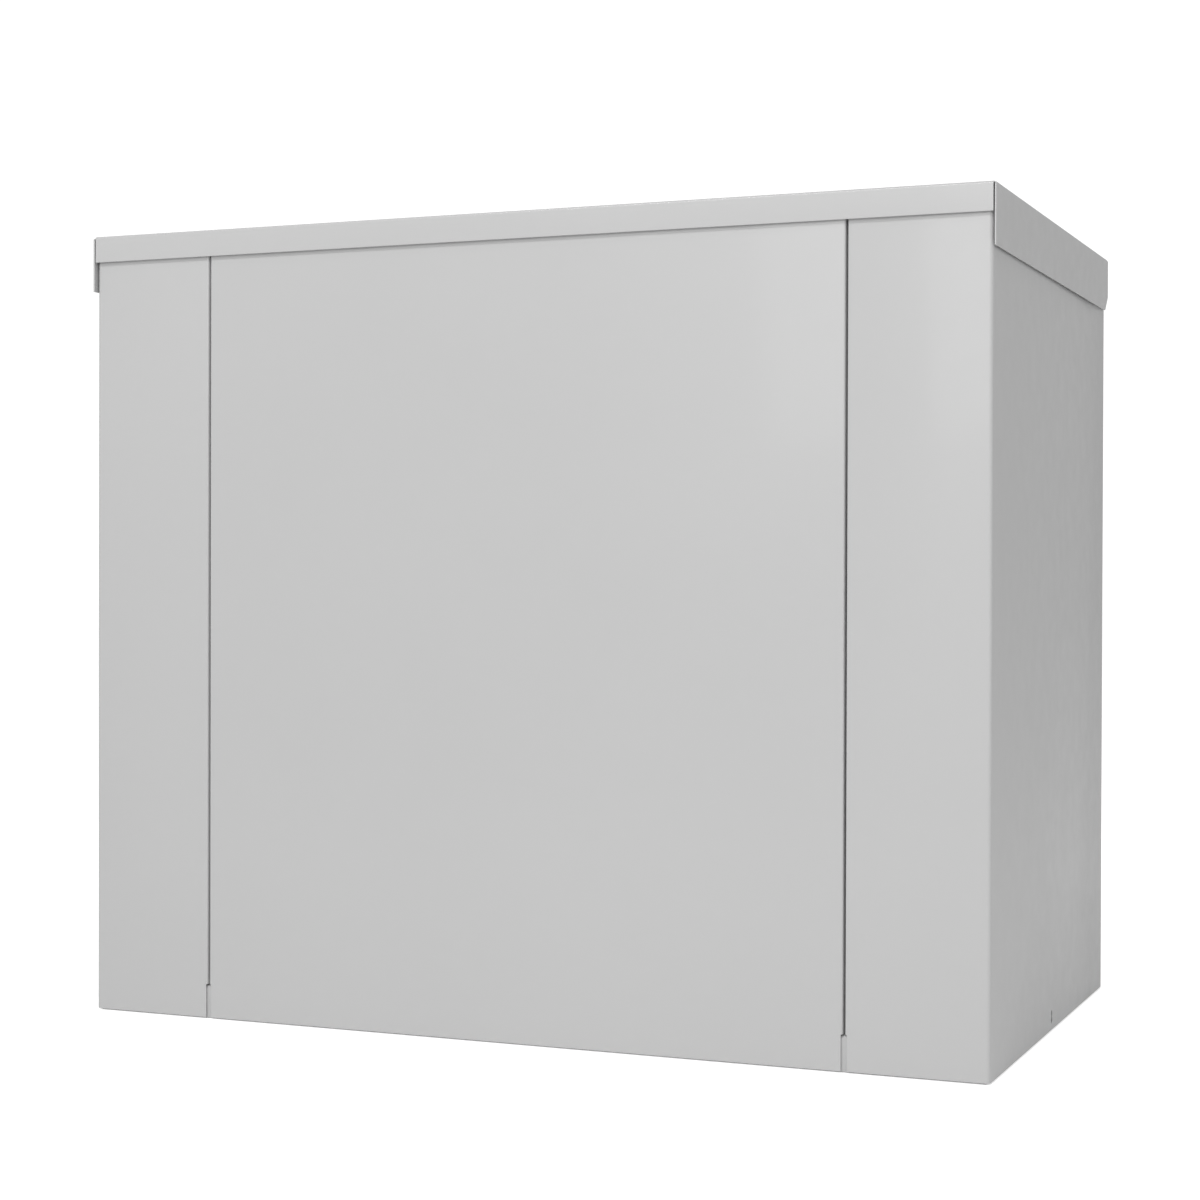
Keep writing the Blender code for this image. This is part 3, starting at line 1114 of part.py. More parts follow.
# --- Assembly -----------------------------------------------------------------------
def cabinet():
    """Sheet-metal case, the lid and everything on it."""
    base_pan()
    cut(end_wall("right_end_wall", 1), slot_cutter("wall_slot"))
    left = end_wall("left_end_wall", -1)
    louvres(left, "left_end", (-HALF_X, 0.0), (1, 0, 0), INLET_WIDTH, INLET_BOTTOM, INLET_ROWS)
    cut(left, rods("tail_hole", None, (
        (-HALF_X - 0.01, TAIL_Y, MUFFLER_AT[1]), (-HALF_X + 0.01, TAIL_Y, MUFFLER_AT[1]),
        TAIL_R + TAIL_ROOM), sides=24))
    cut(left, rods("lock_hole", None, ((-HALF_X - 0.01, 0.0, LOCK_Z),
                                       (-HALF_X + 0.01, 0.0, LOCK_Z), LOCK_R - 0.0015), sides=24))
    centre_panel("front_panel", -1)
    back = centre_panel("back_panel", 1)
    for label, side in (("engine", -1), ("alternator", 1)):
        louvres(back, "back_" + label, (side * OUTLET_X, HALF_Y), (0, -1, 0),
                OUTLET_WIDTH, HEIGHT - OUTLET_DROP, OUTLET_ROWS)
    cut(back, rods("inlet_hole", None, ((FUEL_X, HALF_Y - 0.01, FUEL_Z),
                                        (FUEL_X, HALF_Y + 0.01, FUEL_Z), FUEL_R + 0.001)))
    lid()
    rim_seal()
    lid_liner()
    for label, side in (("left", -1), ("right", 1)):
        hinge(label, side * HINGE_X)
    lid_lock()
    prop()
    bulkhead()


def machinery():
    """Engine and alternator on their cradle."""
    cradle()
    crankcase()
    cylinder()
    cylinder_head()
    turning_group()
    housings()
    intake()
    exhaust()
    accessories()


cabinet()
machinery()
battery()
controls()
fuel()
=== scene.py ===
"""Looks of the home standby generator: materials, fasteners, wiring, light and camera."""

import json
import math

import bmesh
import bpy
from mathutils import Matrix, Vector


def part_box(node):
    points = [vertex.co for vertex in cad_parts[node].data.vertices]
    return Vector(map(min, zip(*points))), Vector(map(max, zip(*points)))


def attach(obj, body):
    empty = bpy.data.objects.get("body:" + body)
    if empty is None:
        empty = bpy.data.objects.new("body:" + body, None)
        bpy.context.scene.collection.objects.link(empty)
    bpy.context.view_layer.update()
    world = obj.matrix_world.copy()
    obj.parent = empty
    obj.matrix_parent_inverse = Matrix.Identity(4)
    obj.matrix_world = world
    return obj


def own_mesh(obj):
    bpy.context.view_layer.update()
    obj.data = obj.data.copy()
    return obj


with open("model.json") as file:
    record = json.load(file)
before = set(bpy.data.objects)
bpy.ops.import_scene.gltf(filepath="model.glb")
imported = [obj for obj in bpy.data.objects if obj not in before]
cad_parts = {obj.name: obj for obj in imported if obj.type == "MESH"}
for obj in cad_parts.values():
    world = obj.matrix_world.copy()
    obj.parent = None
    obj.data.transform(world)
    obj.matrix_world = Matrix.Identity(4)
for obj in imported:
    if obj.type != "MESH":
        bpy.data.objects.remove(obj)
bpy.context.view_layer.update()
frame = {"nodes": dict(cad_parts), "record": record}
NODES = frame["nodes"]

# --- Camera and light ---------------------------------------------------------------
CAMERA_AT = (0.8496, -2.1076, 0.4073)
CAMERA_YAW = 0.38964          # to the right of the long wall's normal
CAMERA_PITCH = 0.00837        # downwards
CAMERA_ROLL = 0.00288
CAMERA_LENS = 70.0
CAMERA_SENSOR = 36.0
WORLD_LIGHT = 0.58            # light that the white surroundings give the object
WORLD_SEEN = 1.10             # how bright they look
LIGHTS_AIM = (0.0, 0.0, 0.4)
LIGHTS = (                    # name, place, width and height, power
    ("key", (0.5, -3.9, 2.2), (2.2, 2.0), 42.0),
    ("top", (-0.2, -2.3, 3.3), (2.6, 0.40), 52.0),
    ("edge", (2.4, -3.0, 0.6), (0.20, 1.8), 7.0),
)
FLOOR_SIZE = 60.0
FLOOR_LIGHT = 0.10            # the same two for the floor's own glow
FLOOR_SEEN = 0.55

# --- Colours, linear ----------------------------------------------------------------
POWDER = (0.452, 0.452, 0.452)


# --- Shader building ----------------------------------------------------------------
class Shader:
    """A Principled material with a few short ways to add nodes."""

    def __init__(self, name, colour, roughness, metallic=0.0):
        self.material = bpy.data.materials.new(name)
        self.material.use_nodes = True
        self.tree = self.material.node_tree
        self.main = self.tree.nodes["Principled BSDF"]
        self.main.inputs["Base Color"].default_value = (*colour, 1.0)
        self.main.inputs["Roughness"].default_value = roughness
        self.main.inputs["Metallic"].default_value = metallic
        self.colour = colour
        self.where = self.tree.nodes.new("ShaderNodeTexCoord").outputs["Object"]
        self.height = None

    def node(self, kind, **values):
        made = self.tree.nodes.new(kind)
        for key, value in values.items():
            made.inputs[key.replace("_", " ")].default_value = value
        return made

    def link(self, out, into):
        self.tree.links.new(out, into)

    def set(self, **values):
        for key, value in values.items():
            self.main.inputs[key.replace("_", " ")].default_value = value
        return self

    def noise(self, scale, detail=4.0, rough=0.55):
        noise = self.node("ShaderNodeTexNoise", Scale=scale, Detail=detail, Roughness=rough)
        self.link(self.where, noise.inputs["Vector"])
        return noise.outputs["Fac"]

    def cells(self, scale):
        cells = self.node("ShaderNodeTexVoronoi", Scale=scale)
        self.link(self.where, cells.inputs["Vector"])
        return cells.outputs["Distance"]

    def ramp(self, fac, *stops):
        """Colours or greys at positions along a factor."""
        ramp = self.node("ShaderNodeValToRGB")
        elements = ramp.color_ramp.elements
        for number, (place, value) in enumerate(stops):
            element = elements[number] if number < 2 else elements.new(place)
            element.position = place
            value = value if hasattr(value, "__len__") else (value,) * 3
            element.color = (*value, 1.0)
        self.link(fac, ramp.inputs["Fac"])
        return ramp.outputs["Color"]

    def scaled(self, *amounts):
        """The base colour times some amounts, as ramp values."""
        return [tuple(min(1.0, channel * amount) for channel in self.colour) for amount in amounts]

    def paint(self, out):
        self.link(out, self.main.inputs["Base Color"])
        return self

    def gloss(self, out):
        self.link(out, self.main.inputs["Roughness"])
        return self

    def bump(self, out, distance, strength=1.0):
        bump = self.node("ShaderNodeBump", Distance=distance, Strength=strength)
        self.link(out, bump.inputs["Height"])
        if self.height:
            self.link(self.height, bump.inputs["Normal"])
        self.height = bump.outputs["Normal"]
        self.link(self.height, self.main.inputs["Normal"])
        return self


def powder_coat():
    """Fine-grained satin powder coat on sheet steel."""
    shader = Shader("powder_coat", POWDER, 0.36)
    low, high = shader.scaled(0.985, 1.015)
    shader.paint(shader.ramp(shader.noise(2.2, 3.0, 0.5), (0.3, low), (0.7, high)))
    shader.gloss(shader.ramp(shader.noise(55.0, 3.0), (0.3, 0.33), (0.7, 0.40)))
    shader.bump(shader.noise(900.0, 3.0, 0.6), 0.0001, 0.35)
    return shader.set(Specular_IOR_Level=0.36, Coat_Weight=0.18, Coat_Roughness=0.10).material


def painted(name, colour, roughness=0.42):
    """Brushed or sprayed enamel with slight orange peel."""
    shader = Shader(name, colour, roughness)
    low, high = shader.scaled(0.8, 1.25)
    shader.paint(shader.ramp(shader.noise(14.0, 5.0), (0.3, low), (0.75, high)))
    shader.gloss(shader.ramp(shader.noise(40.0, 4.0), (0.3, roughness - 0.08),
                             (0.7, roughness + 0.12)))
    shader.bump(shader.noise(420.0, 3.0), 0.0002, 0.4)
    return shader.material


def metal(name, colour, roughness):
    """Plated or machined metal with a fine grain."""
    shader = Shader(name, colour, roughness, 1.0)
    low, high = shader.scaled(0.78, 1.12)
    shader.paint(shader.ramp(shader.noise(26.0, 5.0), (0.28, low), (0.72, high)))
    shader.gloss(shader.ramp(shader.noise(300.0, 3.0, 0.6), (0.3, roughness - 0.08),
                             (0.7, roughness + 0.14)))
    shader.bump(shader.noise(600.0, 3.0, 0.6), 0.0001, 0.35)
    return shader.material


def casting(name, colour):
    """Sand-cast or die-cast aluminium: grainy skin in darker and lighter random patches."""
    shader = Shader(name, colour, 0.5, 1.0)
    low, middle, high = shader.scaled(0.62, 0.95, 1.1)
    grain = shader.noise(60.0, 6.0, 0.65)
    shader.paint(shader.ramp(grain, (0.25, low), (0.5, middle), (0.8, high)))
    shader.gloss(shader.ramp(grain, (0.3, 0.42), (0.7, 0.62)))
    shader.bump(shader.cells(520.0), 0.00035, 0.5)
    shader.bump(shader.noise(900.0, 3.0), 0.0002, 0.5)
    return shader.material


def moulded(name, colour, roughness=0.5, grain=1100.0):
    """Spark-textured moulded plastic."""
    shader = Shader(name, colour, roughness)
    low, high = shader.scaled(0.88, 1.12)
    shader.paint(shader.ramp(shader.noise(9.0, 4.0), (0.3, low), (0.7, high)))
    shader.gloss(shader.ramp(shader.noise(30.0, 4.0), (0.3, roughness - 0.06),
                             (0.7, roughness + 0.08)))
    shader.bump(shader.cells(grain), 0.00014, 0.6)
    return shader.material


def rubber():
    shader = Shader("rubber", (0.022, 0.022, 0.023), 0.72)
    low, high = shader.scaled(0.7, 1.7)
    shader.paint(shader.ramp(shader.noise(35.0, 5.0), (0.3, low), (0.75, high)))
    shader.bump(shader.noise(700.0, 3.0), 0.00025, 0.5)
    return shader.set(Specular_IOR_Level=0.3).material


def foam():
    """Open-cell acoustic foam, with painted shade in its pores and lighter cell rims."""
    shader = Shader("foam", (0.045, 0.045, 0.048), 0.95)
    holes = shader.cells(330.0)
    low, high = shader.scaled(0.25, 1.5)
    # painted shade: the same cells as the bump darken the pores and lighten the cell rims
    shader.paint(shader.ramp(holes, (0.12, low), (0.55, high)))
    shader.bump(holes, 0.0016, 1.0)
    return shader.set(Specular_IOR_Level=0.1).material


def aluminised():
    """Aluminised steel, tinted straw and blue by heat in broad patches."""
    shader = Shader("aluminised_steel", (0.50, 0.49, 0.46), 0.4, 1.0)
    patches = shader.noise(7.0, 5.0, 0.6)
    tint = shader.ramp(patches, (0.30, (0.47, 0.46, 0.44)), (0.48, (0.46, 0.38, 0.27)),
                       (0.60, (0.33, 0.25, 0.20)), (0.72, (0.25, 0.27, 0.33)))
    shader.paint(tint)
    shader.gloss(shader.ramp(shader.noise(45.0, 5.0), (0.3, 0.32), (0.7, 0.58)))
    shader.bump(shader.cells(140.0), 0.0002, 0.25)
    return shader.material


def winding():
    """Varnished copper turns wound round the rotor, with painted shade between the turns."""
    shader = Shader("copper", (0.52, 0.20, 0.07), 0.3, 0.85)
    wave = shader.node("ShaderNodeTexWave", Scale=240.0, Distortion=1.2, Detail=2.0)
    wave.bands_direction = "X"
    shader.link(shader.where, wave.inputs["Vector"])
    low, high = shader.scaled(0.3, 1.3)
    # painted shade in the grooves between the turns and a painted highlight on their crests, from the
    # same wave as the bump
    shader.paint(shader.ramp(wave.outputs["Fac"], (0.1, low), (0.7, high)))
    shader.bump(wave.outputs["Fac"], 0.0006, 0.8)
    return shader.material


def glazed():
    shader = Shader("ceramic_white", (0.80, 0.79, 0.75), 0.2)
    low, high = shader.scaled(0.9, 1.05)
    shader.paint(shader.ramp(shader.noise(60.0, 4.0), (0.3, low), (0.7, high)))
    shader.gloss(shader.ramp(shader.noise(90.0), (0.3, 0.14), (0.7, 0.3)))
    return shader.material


def window():
    """Dark tinted window over the display."""
    shader = Shader("window", (0.012, 0.020, 0.018), 0.08)
    low, high = shader.scaled(0.7, 1.6)
    shader.paint(shader.ramp(shader.noise(30.0, 3.0), (0.3, low), (0.7, high)))
    shader.gloss(shader.ramp(shader.noise(120.0), (0.3, 0.05), (0.7, 0.14)))
    return shader.set(Coat_Weight=0.6).material


LOOKS = {
    "powder_coat": powder_coat(),
    "dark_steel": painted("dark_steel", (0.028, 0.029, 0.031)),
    "zinc": metal("zinc", (0.66, 0.65, 0.61), 0.32),
    "cast_aluminium": casting("cast_aluminium", (0.60, 0.61, 0.62)),
    "engine_black": painted("engine_black", (0.016, 0.016, 0.017), 0.36),
    "rubber": rubber(),
    "foam": foam(),
    "aluminised_steel": aluminised(),
    "black_plastic": moulded("black_plastic", (0.018, 0.018, 0.019), 0.5),
    "grey_plastic": moulded("grey_plastic", (0.20, 0.205, 0.21), 0.48),
    "brass": metal("brass", (0.70, 0.50, 0.20), 0.3),
    "copper": winding(),
    "yellow_plastic": moulded("yellow_plastic", (0.75, 0.46, 0.02), 0.34, 900.0),
    "red_plastic": moulded("red_plastic", (0.55, 0.02, 0.015), 0.3, 900.0),
    "green_plastic": moulded("green_plastic", (0.02, 0.26, 0.06), 0.3, 900.0),
    "ceramic_white": glazed(),
}
WINDOW = window()


# --- CAD nodes ----------------------------------------------------------------------
EDGE = 0.0006                 # rounded edge that every CAD node gets
EDGE_ANGLE = math.radians(32.0)
WELD = 0.00002
FLAT_ANGLE = math.radians(0.4)
SLOTS = {part["node"]: part["material_slot"] for part in frame["record"]["subparts"]}


def dress(node):
    """Give a CAD node its material and its small rounded edges."""
    piece = NODES[node]
    piece.data.materials.clear()
    piece.data.materials.append(LOOKS[SLOTS[node]])
    custom = piece.data.attributes.get("custom_normal")
    if custom:
        piece.data.attributes.remove(custom)
    piece.data.shade_smooth()
    weld = piece.modifiers.new("weld", "WELD")
    weld.merge_threshold = WELD
    flat = piece.modifiers.new("flat", "DECIMATE")
    flat.decimate_type = "DISSOLVE"
    flat.angle_limit = FLAT_ANGLE
    bevel = piece.modifiers.new("edges", "BEVEL")
    bevel.width = EDGE
    bevel.segments = 2
    bevel.limit_method = "ANGLE"
    bevel.angle_limit = EDGE_ANGLE
    bevel.harden_normals = True


for node in NODES:
    dress(node)


# --- Making pieces ------------------------------------------------------------------
HERE = Matrix.Identity(4)
QUARTER = math.pi / 2
SHARP = math.radians(35.0)    # smooth shading stops at edges sharper than this
SOFT_ANGLE = math.radians(40.0)
PATH_STEPS = 8                # points that a cable gets between two points of its route


def facing(point, axis):
    """Frame at a point whose +Z runs along an axis."""
    turn = Vector((0.0, 0.0, 1.0)).rotation_difference(Vector(axis))
    return Matrix.Translation(point) @ turn.to_matrix().to_4x4()


def middle_of(node):
    """Centre of a CAD node's box at rest."""
    low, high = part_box(node)
    return (low + high) / 2


class Shape:
    """A piece in the making: closed solids gathered in one mesh."""

    def __init__(self):
        self.mesh = bmesh.new()

    def box(self, low, high, place=HERE):
        """Block between two corners."""
        size = [b - a for a, b in zip(low, high)]
        middle = [(a + b) / 2 for a, b in zip(low, high)]
        fit = place @ Matrix.Translation(middle) @ Matrix.Diagonal((*size, 1.0))
        bmesh.ops.create_cube(self.mesh, size=1.0, matrix=fit)
        return self

    def turn(self, profile, place=HERE, sides=28):
        """Turn an outline of (radius, height) points; it closes on the axis or as a ring."""
        rings = []
        for radius, height in profile:
            count = sides if radius > 0 else 1
            angles = [2 * math.pi * (k + 0.5) / count for k in range(count)]
            rings.append([self.mesh.verts.new(place @ Vector((
                radius * math.cos(angle), radius * math.sin(angle), height))) for angle in angles])
        if profile[0][0] > 0:
            rings.append(rings[0])
        for first, second in zip(rings, rings[1:]):
            for k in range(sides):
                corners = (first[k % len(first)], first[(k + 1) % len(first)],
                           second[(k + 1) % len(second)], second[k % len(second)])
                self.mesh.faces.new(dict.fromkeys(corners))
        return self

    def rod(self, start, end, radius, sides=12):
        """Round bar between two points."""
        run = Vector(end) - Vector(start)
        return self.turn([(0, run.length), (radius, run.length), (radius, 0), (0, 0)],
                         facing(start, run), sides)

    def wire(self, points, radius, sides=6):
        """Round wire through points, closed at both ends."""
        rings = []
        for before, point, after in zip([points[0]] + points, points, points[1:] + [points[-1]]):
            place = facing(point, after - before)
            angles = [2 * math.pi * k / sides for k in range(sides)]
            rings.append([self.mesh.verts.new(place @ Vector((
                radius * math.cos(angle), radius * math.sin(angle), 0.0))) for angle in angles])
        for first, second in zip(rings, rings[1:]):
            for k in range(sides):
                after = (k + 1) % sides
                self.mesh.faces.new((first[k], first[after], second[after], second[k]))
        self.mesh.faces.new(rings[0])
        self.mesh.faces.new(rings[-1][::-1])
        return self

    def ring(self, place, inner, outer, thick, sides=32):
        """Flat ring with softened rims, standing on the frame's XY plane."""
        soft = min(thick, outer - inner) * 0.3
        return self.turn([(inner, thick), (outer - soft, thick), (outer, thick - soft),
                          (outer, 0), (inner, 0)], place, sides)

    def bolt(self, place, across=0.010):
        """Hexagon flange bolt head."""
        rim, high, flange = across * 0.70, across * 0.62, across * 0.16
        self.turn([(0, flange), (rim * 0.92, flange), (rim, flange * 0.5), (rim, 0), (0, 0)],
                  place, 20)
        corner = across / math.sqrt(3.0)
        return self.turn([(0, high), (corner * 0.84, high), (corner, high * 0.88),
                          (corner, flange * 0.5), (0, flange * 0.5)], place, 6)

    def screw(self, place, radius=0.004):
        """Button head screw with a socket."""
        high = radius * 0.7
        return self.turn([(0, high * 0.3), (radius * 0.4, high * 0.3), (radius * 0.45, high * 0.97),
                          (radius * 0.62, high), (radius * 0.9, high * 0.65),
                          (radius, high * 0.2), (radius, 0), (0, 0)], place, 18)

    def done(self, name, slot, body="cabinet", soft=0.0, look=None):
        """Finish the piece: normals, soft edges, material, body and slot."""
        bmesh.ops.recalc_face_normals(self.mesh, faces=self.mesh.faces)
        data = bpy.data.meshes.new(name)
        self.mesh.to_mesh(data)
        self.mesh.free()
        data.shade_smooth()
        data.set_sharp_from_angle(angle=SHARP)
        piece = bpy.data.objects.new(name, data)
        if soft:
            bevel = piece.modifiers.new("soft", "BEVEL")
            bevel.width = soft
            bevel.segments = 3
            bevel.angle_limit = SOFT_ANGLE
            bevel.harden_normals = True
        return placed(piece, slot, body, look)


def placed(piece, slot, body, look=None):
    """Put a piece in the scene with its material, body and slot."""
    bpy.context.scene.collection.objects.link(piece)
    piece.data.materials.append(look or LOOKS[slot])
    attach(piece, body)
    return piece


def smooth_path(points, count):
    """Catmull-Rom points through a route's own points."""
    points = [Vector(point) for point in points]
    ends = [points[0] * 2 - points[1]] + points + [points[-1] * 2 - points[-2]]
    path = []
    for a, b, c, d in zip(ends, ends[1:], ends[2:], ends[3:]):
        for step in range(count):
            t = step / count
            path.append(0.5 * (2 * b + (c - a) * t + (2 * a - 5 * b + 4 * c - d) * t ** 2
                               + (3 * b - a - 3 * c + d) * t ** 3))
    return path + [points[-1]]


def cable(name, slot, points, radius, count=PATH_STEPS, rib=0.0):
    """Round cable on a smooth route; ribs make it a corrugated sleeve."""
    path = smooth_path(points, count)
    curve = bpy.data.curves.new(name, "CURVE")
    curve.dimensions = "3D"
    curve.bevel_depth = radius
    curve.bevel_resolution = 3
    curve.use_fill_caps = True
    spline = curve.splines.new("POLY")
    spline.points.add(len(path) - 1)
    for number, (point, position) in enumerate(zip(spline.points, path)):
        point.co = (*position, 1.0)
        point.radius = 1.0 - rib * (number % 2)
    return placed(bpy.data.objects.new(name, curve), slot, "cabinet")


# --- Cabinet ------------------------------------------------------------------------
SHEET = 0.0015                # thickness of the cabinet's steel
WIRE = 0.0007                 # radius of the screens' wires
SCREEN_RIM = 0.0028
SCREEN_INSET = 0.019          # screens behind the wall's outer face
MESH_PITCH = 0.009
INLET_SCREEN = (-0.145, 0.098, 0.290, 0.262)      # first Y, first Z, width, height
OUTLET_SCREEN = (0.336, 0.250, 0.236)             # foot below the panel's top, width, height
OUTLET_STARTS = (("engine", -0.275), ("alternator", 0.025))
SEAM = 0.002
SEAM_BOLT_IN = 0.0095         # bolts behind the panel's outer face
SEAM_BOLTS_Z = (0.130, 0.350, 0.600)
HINGE_SCREW_PITCH = 0.024
HINGE_LEAF = 0.0023           # leaf's outer face beyond the sheet's
LOCK_DROP = 0.013             # lock's axis below the top of its barrel


def wire_screen(name, corner, across, wide, high):
    """Woven rodent screen in a folded rim, behind a bank of louvres."""
    corner, across, up = Vector(corner), Vector(across), Vector((0.0, 0.0, 1.0))
    screen = Shape()
    for number in range(1, int(wide / MESH_PITCH)):
        start = corner + across * MESH_PITCH * number
        screen.rod(start, start + up * high, WIRE, 6)
    for number in range(1, int(high / MESH_PITCH)):
        start = corner + up * MESH_PITCH * number
        screen.rod(start, start + across * wide, WIRE, 6)
    for start, run in ((corner, across * wide), (corner, up * high),
                       (corner + up * high, across * wide), (corner + across * wide, up * high)):
        screen.rod(start, start + run, SCREEN_RIM, 8)
    screen.done(name, "zinc")


def screens():
    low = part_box("left_end_wall")[0]
    y, z, wide, high = INLET_SCREEN
    wire_screen("inlet_screen", (low.x + SCREEN_INSET, y, z), (0, 1, 0), wide, high)
    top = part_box("left_end_wall")[1].z
    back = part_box("back_panel")[1].y
    drop, wide, high = OUTLET_SCREEN
    for label, x in OUTLET_STARTS:
        corner = (x, back - SCREEN_INSET, top - drop)
        wire_screen("outlet_screen_" + label, corner, (1, 0, 0), wide, high)


def seam_bolts():
    """Bolts through the return flanges that hold the centre panels."""
    for label, node, inward in (("front", "front_panel", 1), ("back", "back_panel", -1)):
        low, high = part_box(node)
        face = low.y if inward > 0 else high.y
        bolts = Shape()
        for side, edge in ((-1, low.x), (1, high.x)):
            for z in SEAM_BOLTS_Z:
                y = face + inward * SEAM_BOLT_IN
                panel = (edge - side * SHEET, y, z)
                strip = (edge + side * (SEAM + SHEET), y, z)
                bolts.bolt(facing(panel, (-side, 0, 0)), 0.008)
                bolts.bolt(facing(strip, (side, 0, 0)), 0.008)
        bolts.done("seam_bolts_" + label, "zinc")


def hinge_screws():
    """Three screws in each hinge leaf."""
    for label in ("left", "right"):
        for leaf, body, sheet, part in (("body", "cabinet", "back_panel", 0.4),
                                        ("lid", "lid", "lid", 0.62)):
            low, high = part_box("hinge_%s_leaf_%s" % (leaf, label))
            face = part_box(sheet)[1].y + HINGE_LEAF
            if leaf == "lid":
                face = min(face, high.y)
            z = low.z + (high.z - low.z) * part
            screws = Shape()
            for step in (-1, 0, 1):
                x = (low.x + high.x) / 2 + step * HINGE_SCREW_PITCH
                screws.screw(facing((x, face, z), (0, 1, 0)), 0.0034)
            screws.done("hinge_screws_%s_%s" % (leaf, label), "zinc", body)


def lock_rose():
    """Rose outside and nut inside, round the lock in the left end wall."""
    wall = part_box("left_end_wall")[0].x
    axis = (middle_of("lock_barrel").y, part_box("lock_barrel")[1].z - LOCK_DROP)
    outside = facing((wall, *axis), (-1, 0, 0))
    Shape().ring(outside, 0.0133, 0.0165, 0.0022).done("lock_rose", "zinc")
    inside = facing((wall + SHEET + 0.0003, *axis), (1, 0, 0))
    Shape().turn([(0.0093, 0.006), (0.0155, 0.006), (0.0165, 0.005), (0.0165, 0.0),
                  (0.0093, 0.0)], inside, 6).done("lock_nut", "zinc")


def grommet(name, point, axis, hole):
    """Rubber ring with a lip on both sides of a sheet."""
    Shape().turn([(hole - 0.003, 0.0035), (hole + 0.0015, 0.0042), (hole + 0.0032, 0.0020),
                  (hole + 0.0032, 0.0004), (hole + 0.0032, -0.0020), (hole + 0.0015, -0.0057),
                  (hole - 0.003, -0.0050)], facing(point, axis), 36).done(name, "rubber")


def lid_pins():
    """Washers that hold the foam under the lid."""
    low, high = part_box("lid_liner")
    pins = Shape()
    for x in (0.12, 0.5, 0.88):
        for y in (0.18, 0.82):
            at = (low.x + (high.x - low.x) * x, low.y + (high.y - low.y) * y, low.z)
            pins.turn([(0, 0.0016), (0.010, 0.0012), (0.0135, 0.0), (0, 0.0)],
                      facing(at, (0, 0, -1)), 24)
    pins.done("liner_washers", "zinc", "lid")


# --- Engine -------------------------------------------------------------------------
LEAN = math.radians(20.0)     # cylinder leans towards the front
HEAD_AT = 0.1721              # head's joint face, along the cylinder from the crankshaft
HEAD_STUD_AT = HEAD_AT + 0.0443
PLUG_AT = HEAD_AT + 0.0225
COVER_TOP = 0.2544
PORTS_Y = -0.0467             # intake and exhaust ports
PORTS_Z = 0.3886
CAN_X = -0.330                # muffler's axis
CAN_RADIUS = 0.055
TAIL_Y = 0.070
TAIL_RADIUS = 0.0150
SHIELD_GAP = 0.0095           # heat shield above the muffler
SHIELD_SPAN = math.radians(64.0)
SHIELD_FACETS = 20
SHIELD_LAP = 1.02             # facets overlap a little
SPRING_TURNS = 9
SPRING_FACETS = 14
SPRING_LENGTH = 0.054
TIE_RADIUS = 0.1035           # stator's tie bolts from the crankshaft


def crank_at(x):
    centre = middle_of("crankshaft")
    return Vector((x, centre.y, centre.z))


def cylinder_frame():
    """Frame whose +Z runs up the leaning cylinder from the crankshaft."""
    return Matrix.Translation(crank_at(middle_of("cylinder").x)) @ Matrix.Rotation(LEAN, 4, "X")


def engine_bolts():
    """Bolts of the rocker cover, head and stator feet, and the drain plug."""
    place = cylinder_frame()
    bolts = Shape()
    for x in (-0.040, 0.040):
        for y in (-0.045, 0.045):
            bolts.bolt(place @ Matrix.Translation((x, y, COVER_TOP)), 0.009)
    bolts.done("cover_bolts", "zinc")
    studs = Shape()
    for x in (-0.0545, 0.0545):
        for y in (-0.0600, 0.0600):
            studs.bolt(place @ Matrix.Translation((x, y, HEAD_STUD_AT)), 0.009)
    studs.done("head_bolts", "zinc")
    feet = Shape()
    foot_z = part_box("stator_housing")[0].z + 0.008
    for x in (0.030, 0.070):
        for y in (-0.088, 0.088):
            feet.bolt(facing((x, crank_at(0).y + y, foot_z), (0, 0, 1)), 0.012)
    feet.done("stator_foot_bolts", "zinc")
    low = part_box("crankcase")[0]
    drain = (middle_of("crankcase").x + 0.02, low.y + 0.007, low.z + 0.028)
    Shape().bolt(facing(drain, (0, -1, 0)), 0.015).done("drain_plug", "brass")


def ignition():
    """Spark plug boot, lead, and the coil on the blower housing."""
    place = cylinder_frame() @ facing((0, -0.022, PLUG_AT), (0, -1, 0))
    Shape().turn([(0, 0.098), (0.0052, 0.098), (0.0060, 0.090), (0.0092, 0.086), (0.0098, 0.072),
                  (0.0090, 0.070), (0.0098, 0.068), (0.0090, 0.066), (0.0098, 0.064),
                  (0.0104, 0.055), (0.0100, 0.052), (0.0, 0.052)],
                 place, 24).done("plug_boot", "rubber")
    tip = place @ Vector((0, 0, 0.096))
    middle = middle_of("blower_housing")
    base = Vector((middle.x, middle.y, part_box("blower_housing")[1].z - 0.001))
    coil = Shape()
    coil.box(base + Vector((-0.022, -0.016, 0.003)), base + Vector((0.022, 0.016, 0.024)))
    coil.box(base + Vector((-0.010, -0.024, 0.006)), base + Vector((0.010, -0.014, 0.018)))
    coil.done("ignition_coil", "black_plastic", soft=0.002)
    core = Shape()
    for number in range(5):
        x = base.x - 0.026 + number * 0.013
        core.box((x - 0.0045, base.y - 0.020, base.z),
                 (x + 0.0045, base.y + 0.020, base.z + 0.004))
    core.box(base + Vector((-0.030, -0.008, 0.001)), base + Vector((0.030, 0.008, 0.0035)))
    for side in (-1, 1):
        core.bolt(facing(base + Vector((side * 0.027, 0, 0.0035)), (0, 0, 1)), 0.007)
    core.done("coil_core", "zinc", soft=0.0004)
    cable("plug_lead", "rubber", [tip, tip + Vector((0, -0.012, -0.003)),
                                  tip + Vector((-0.040, -0.016, -0.006)),
                                  Vector((-0.250, -0.118, 0.348)), Vector((-0.276, -0.060, 0.350)),
                                  base + Vector((0, -0.034, 0.012)),
                                  base + Vector((0, -0.020, 0.012))], 0.0036)


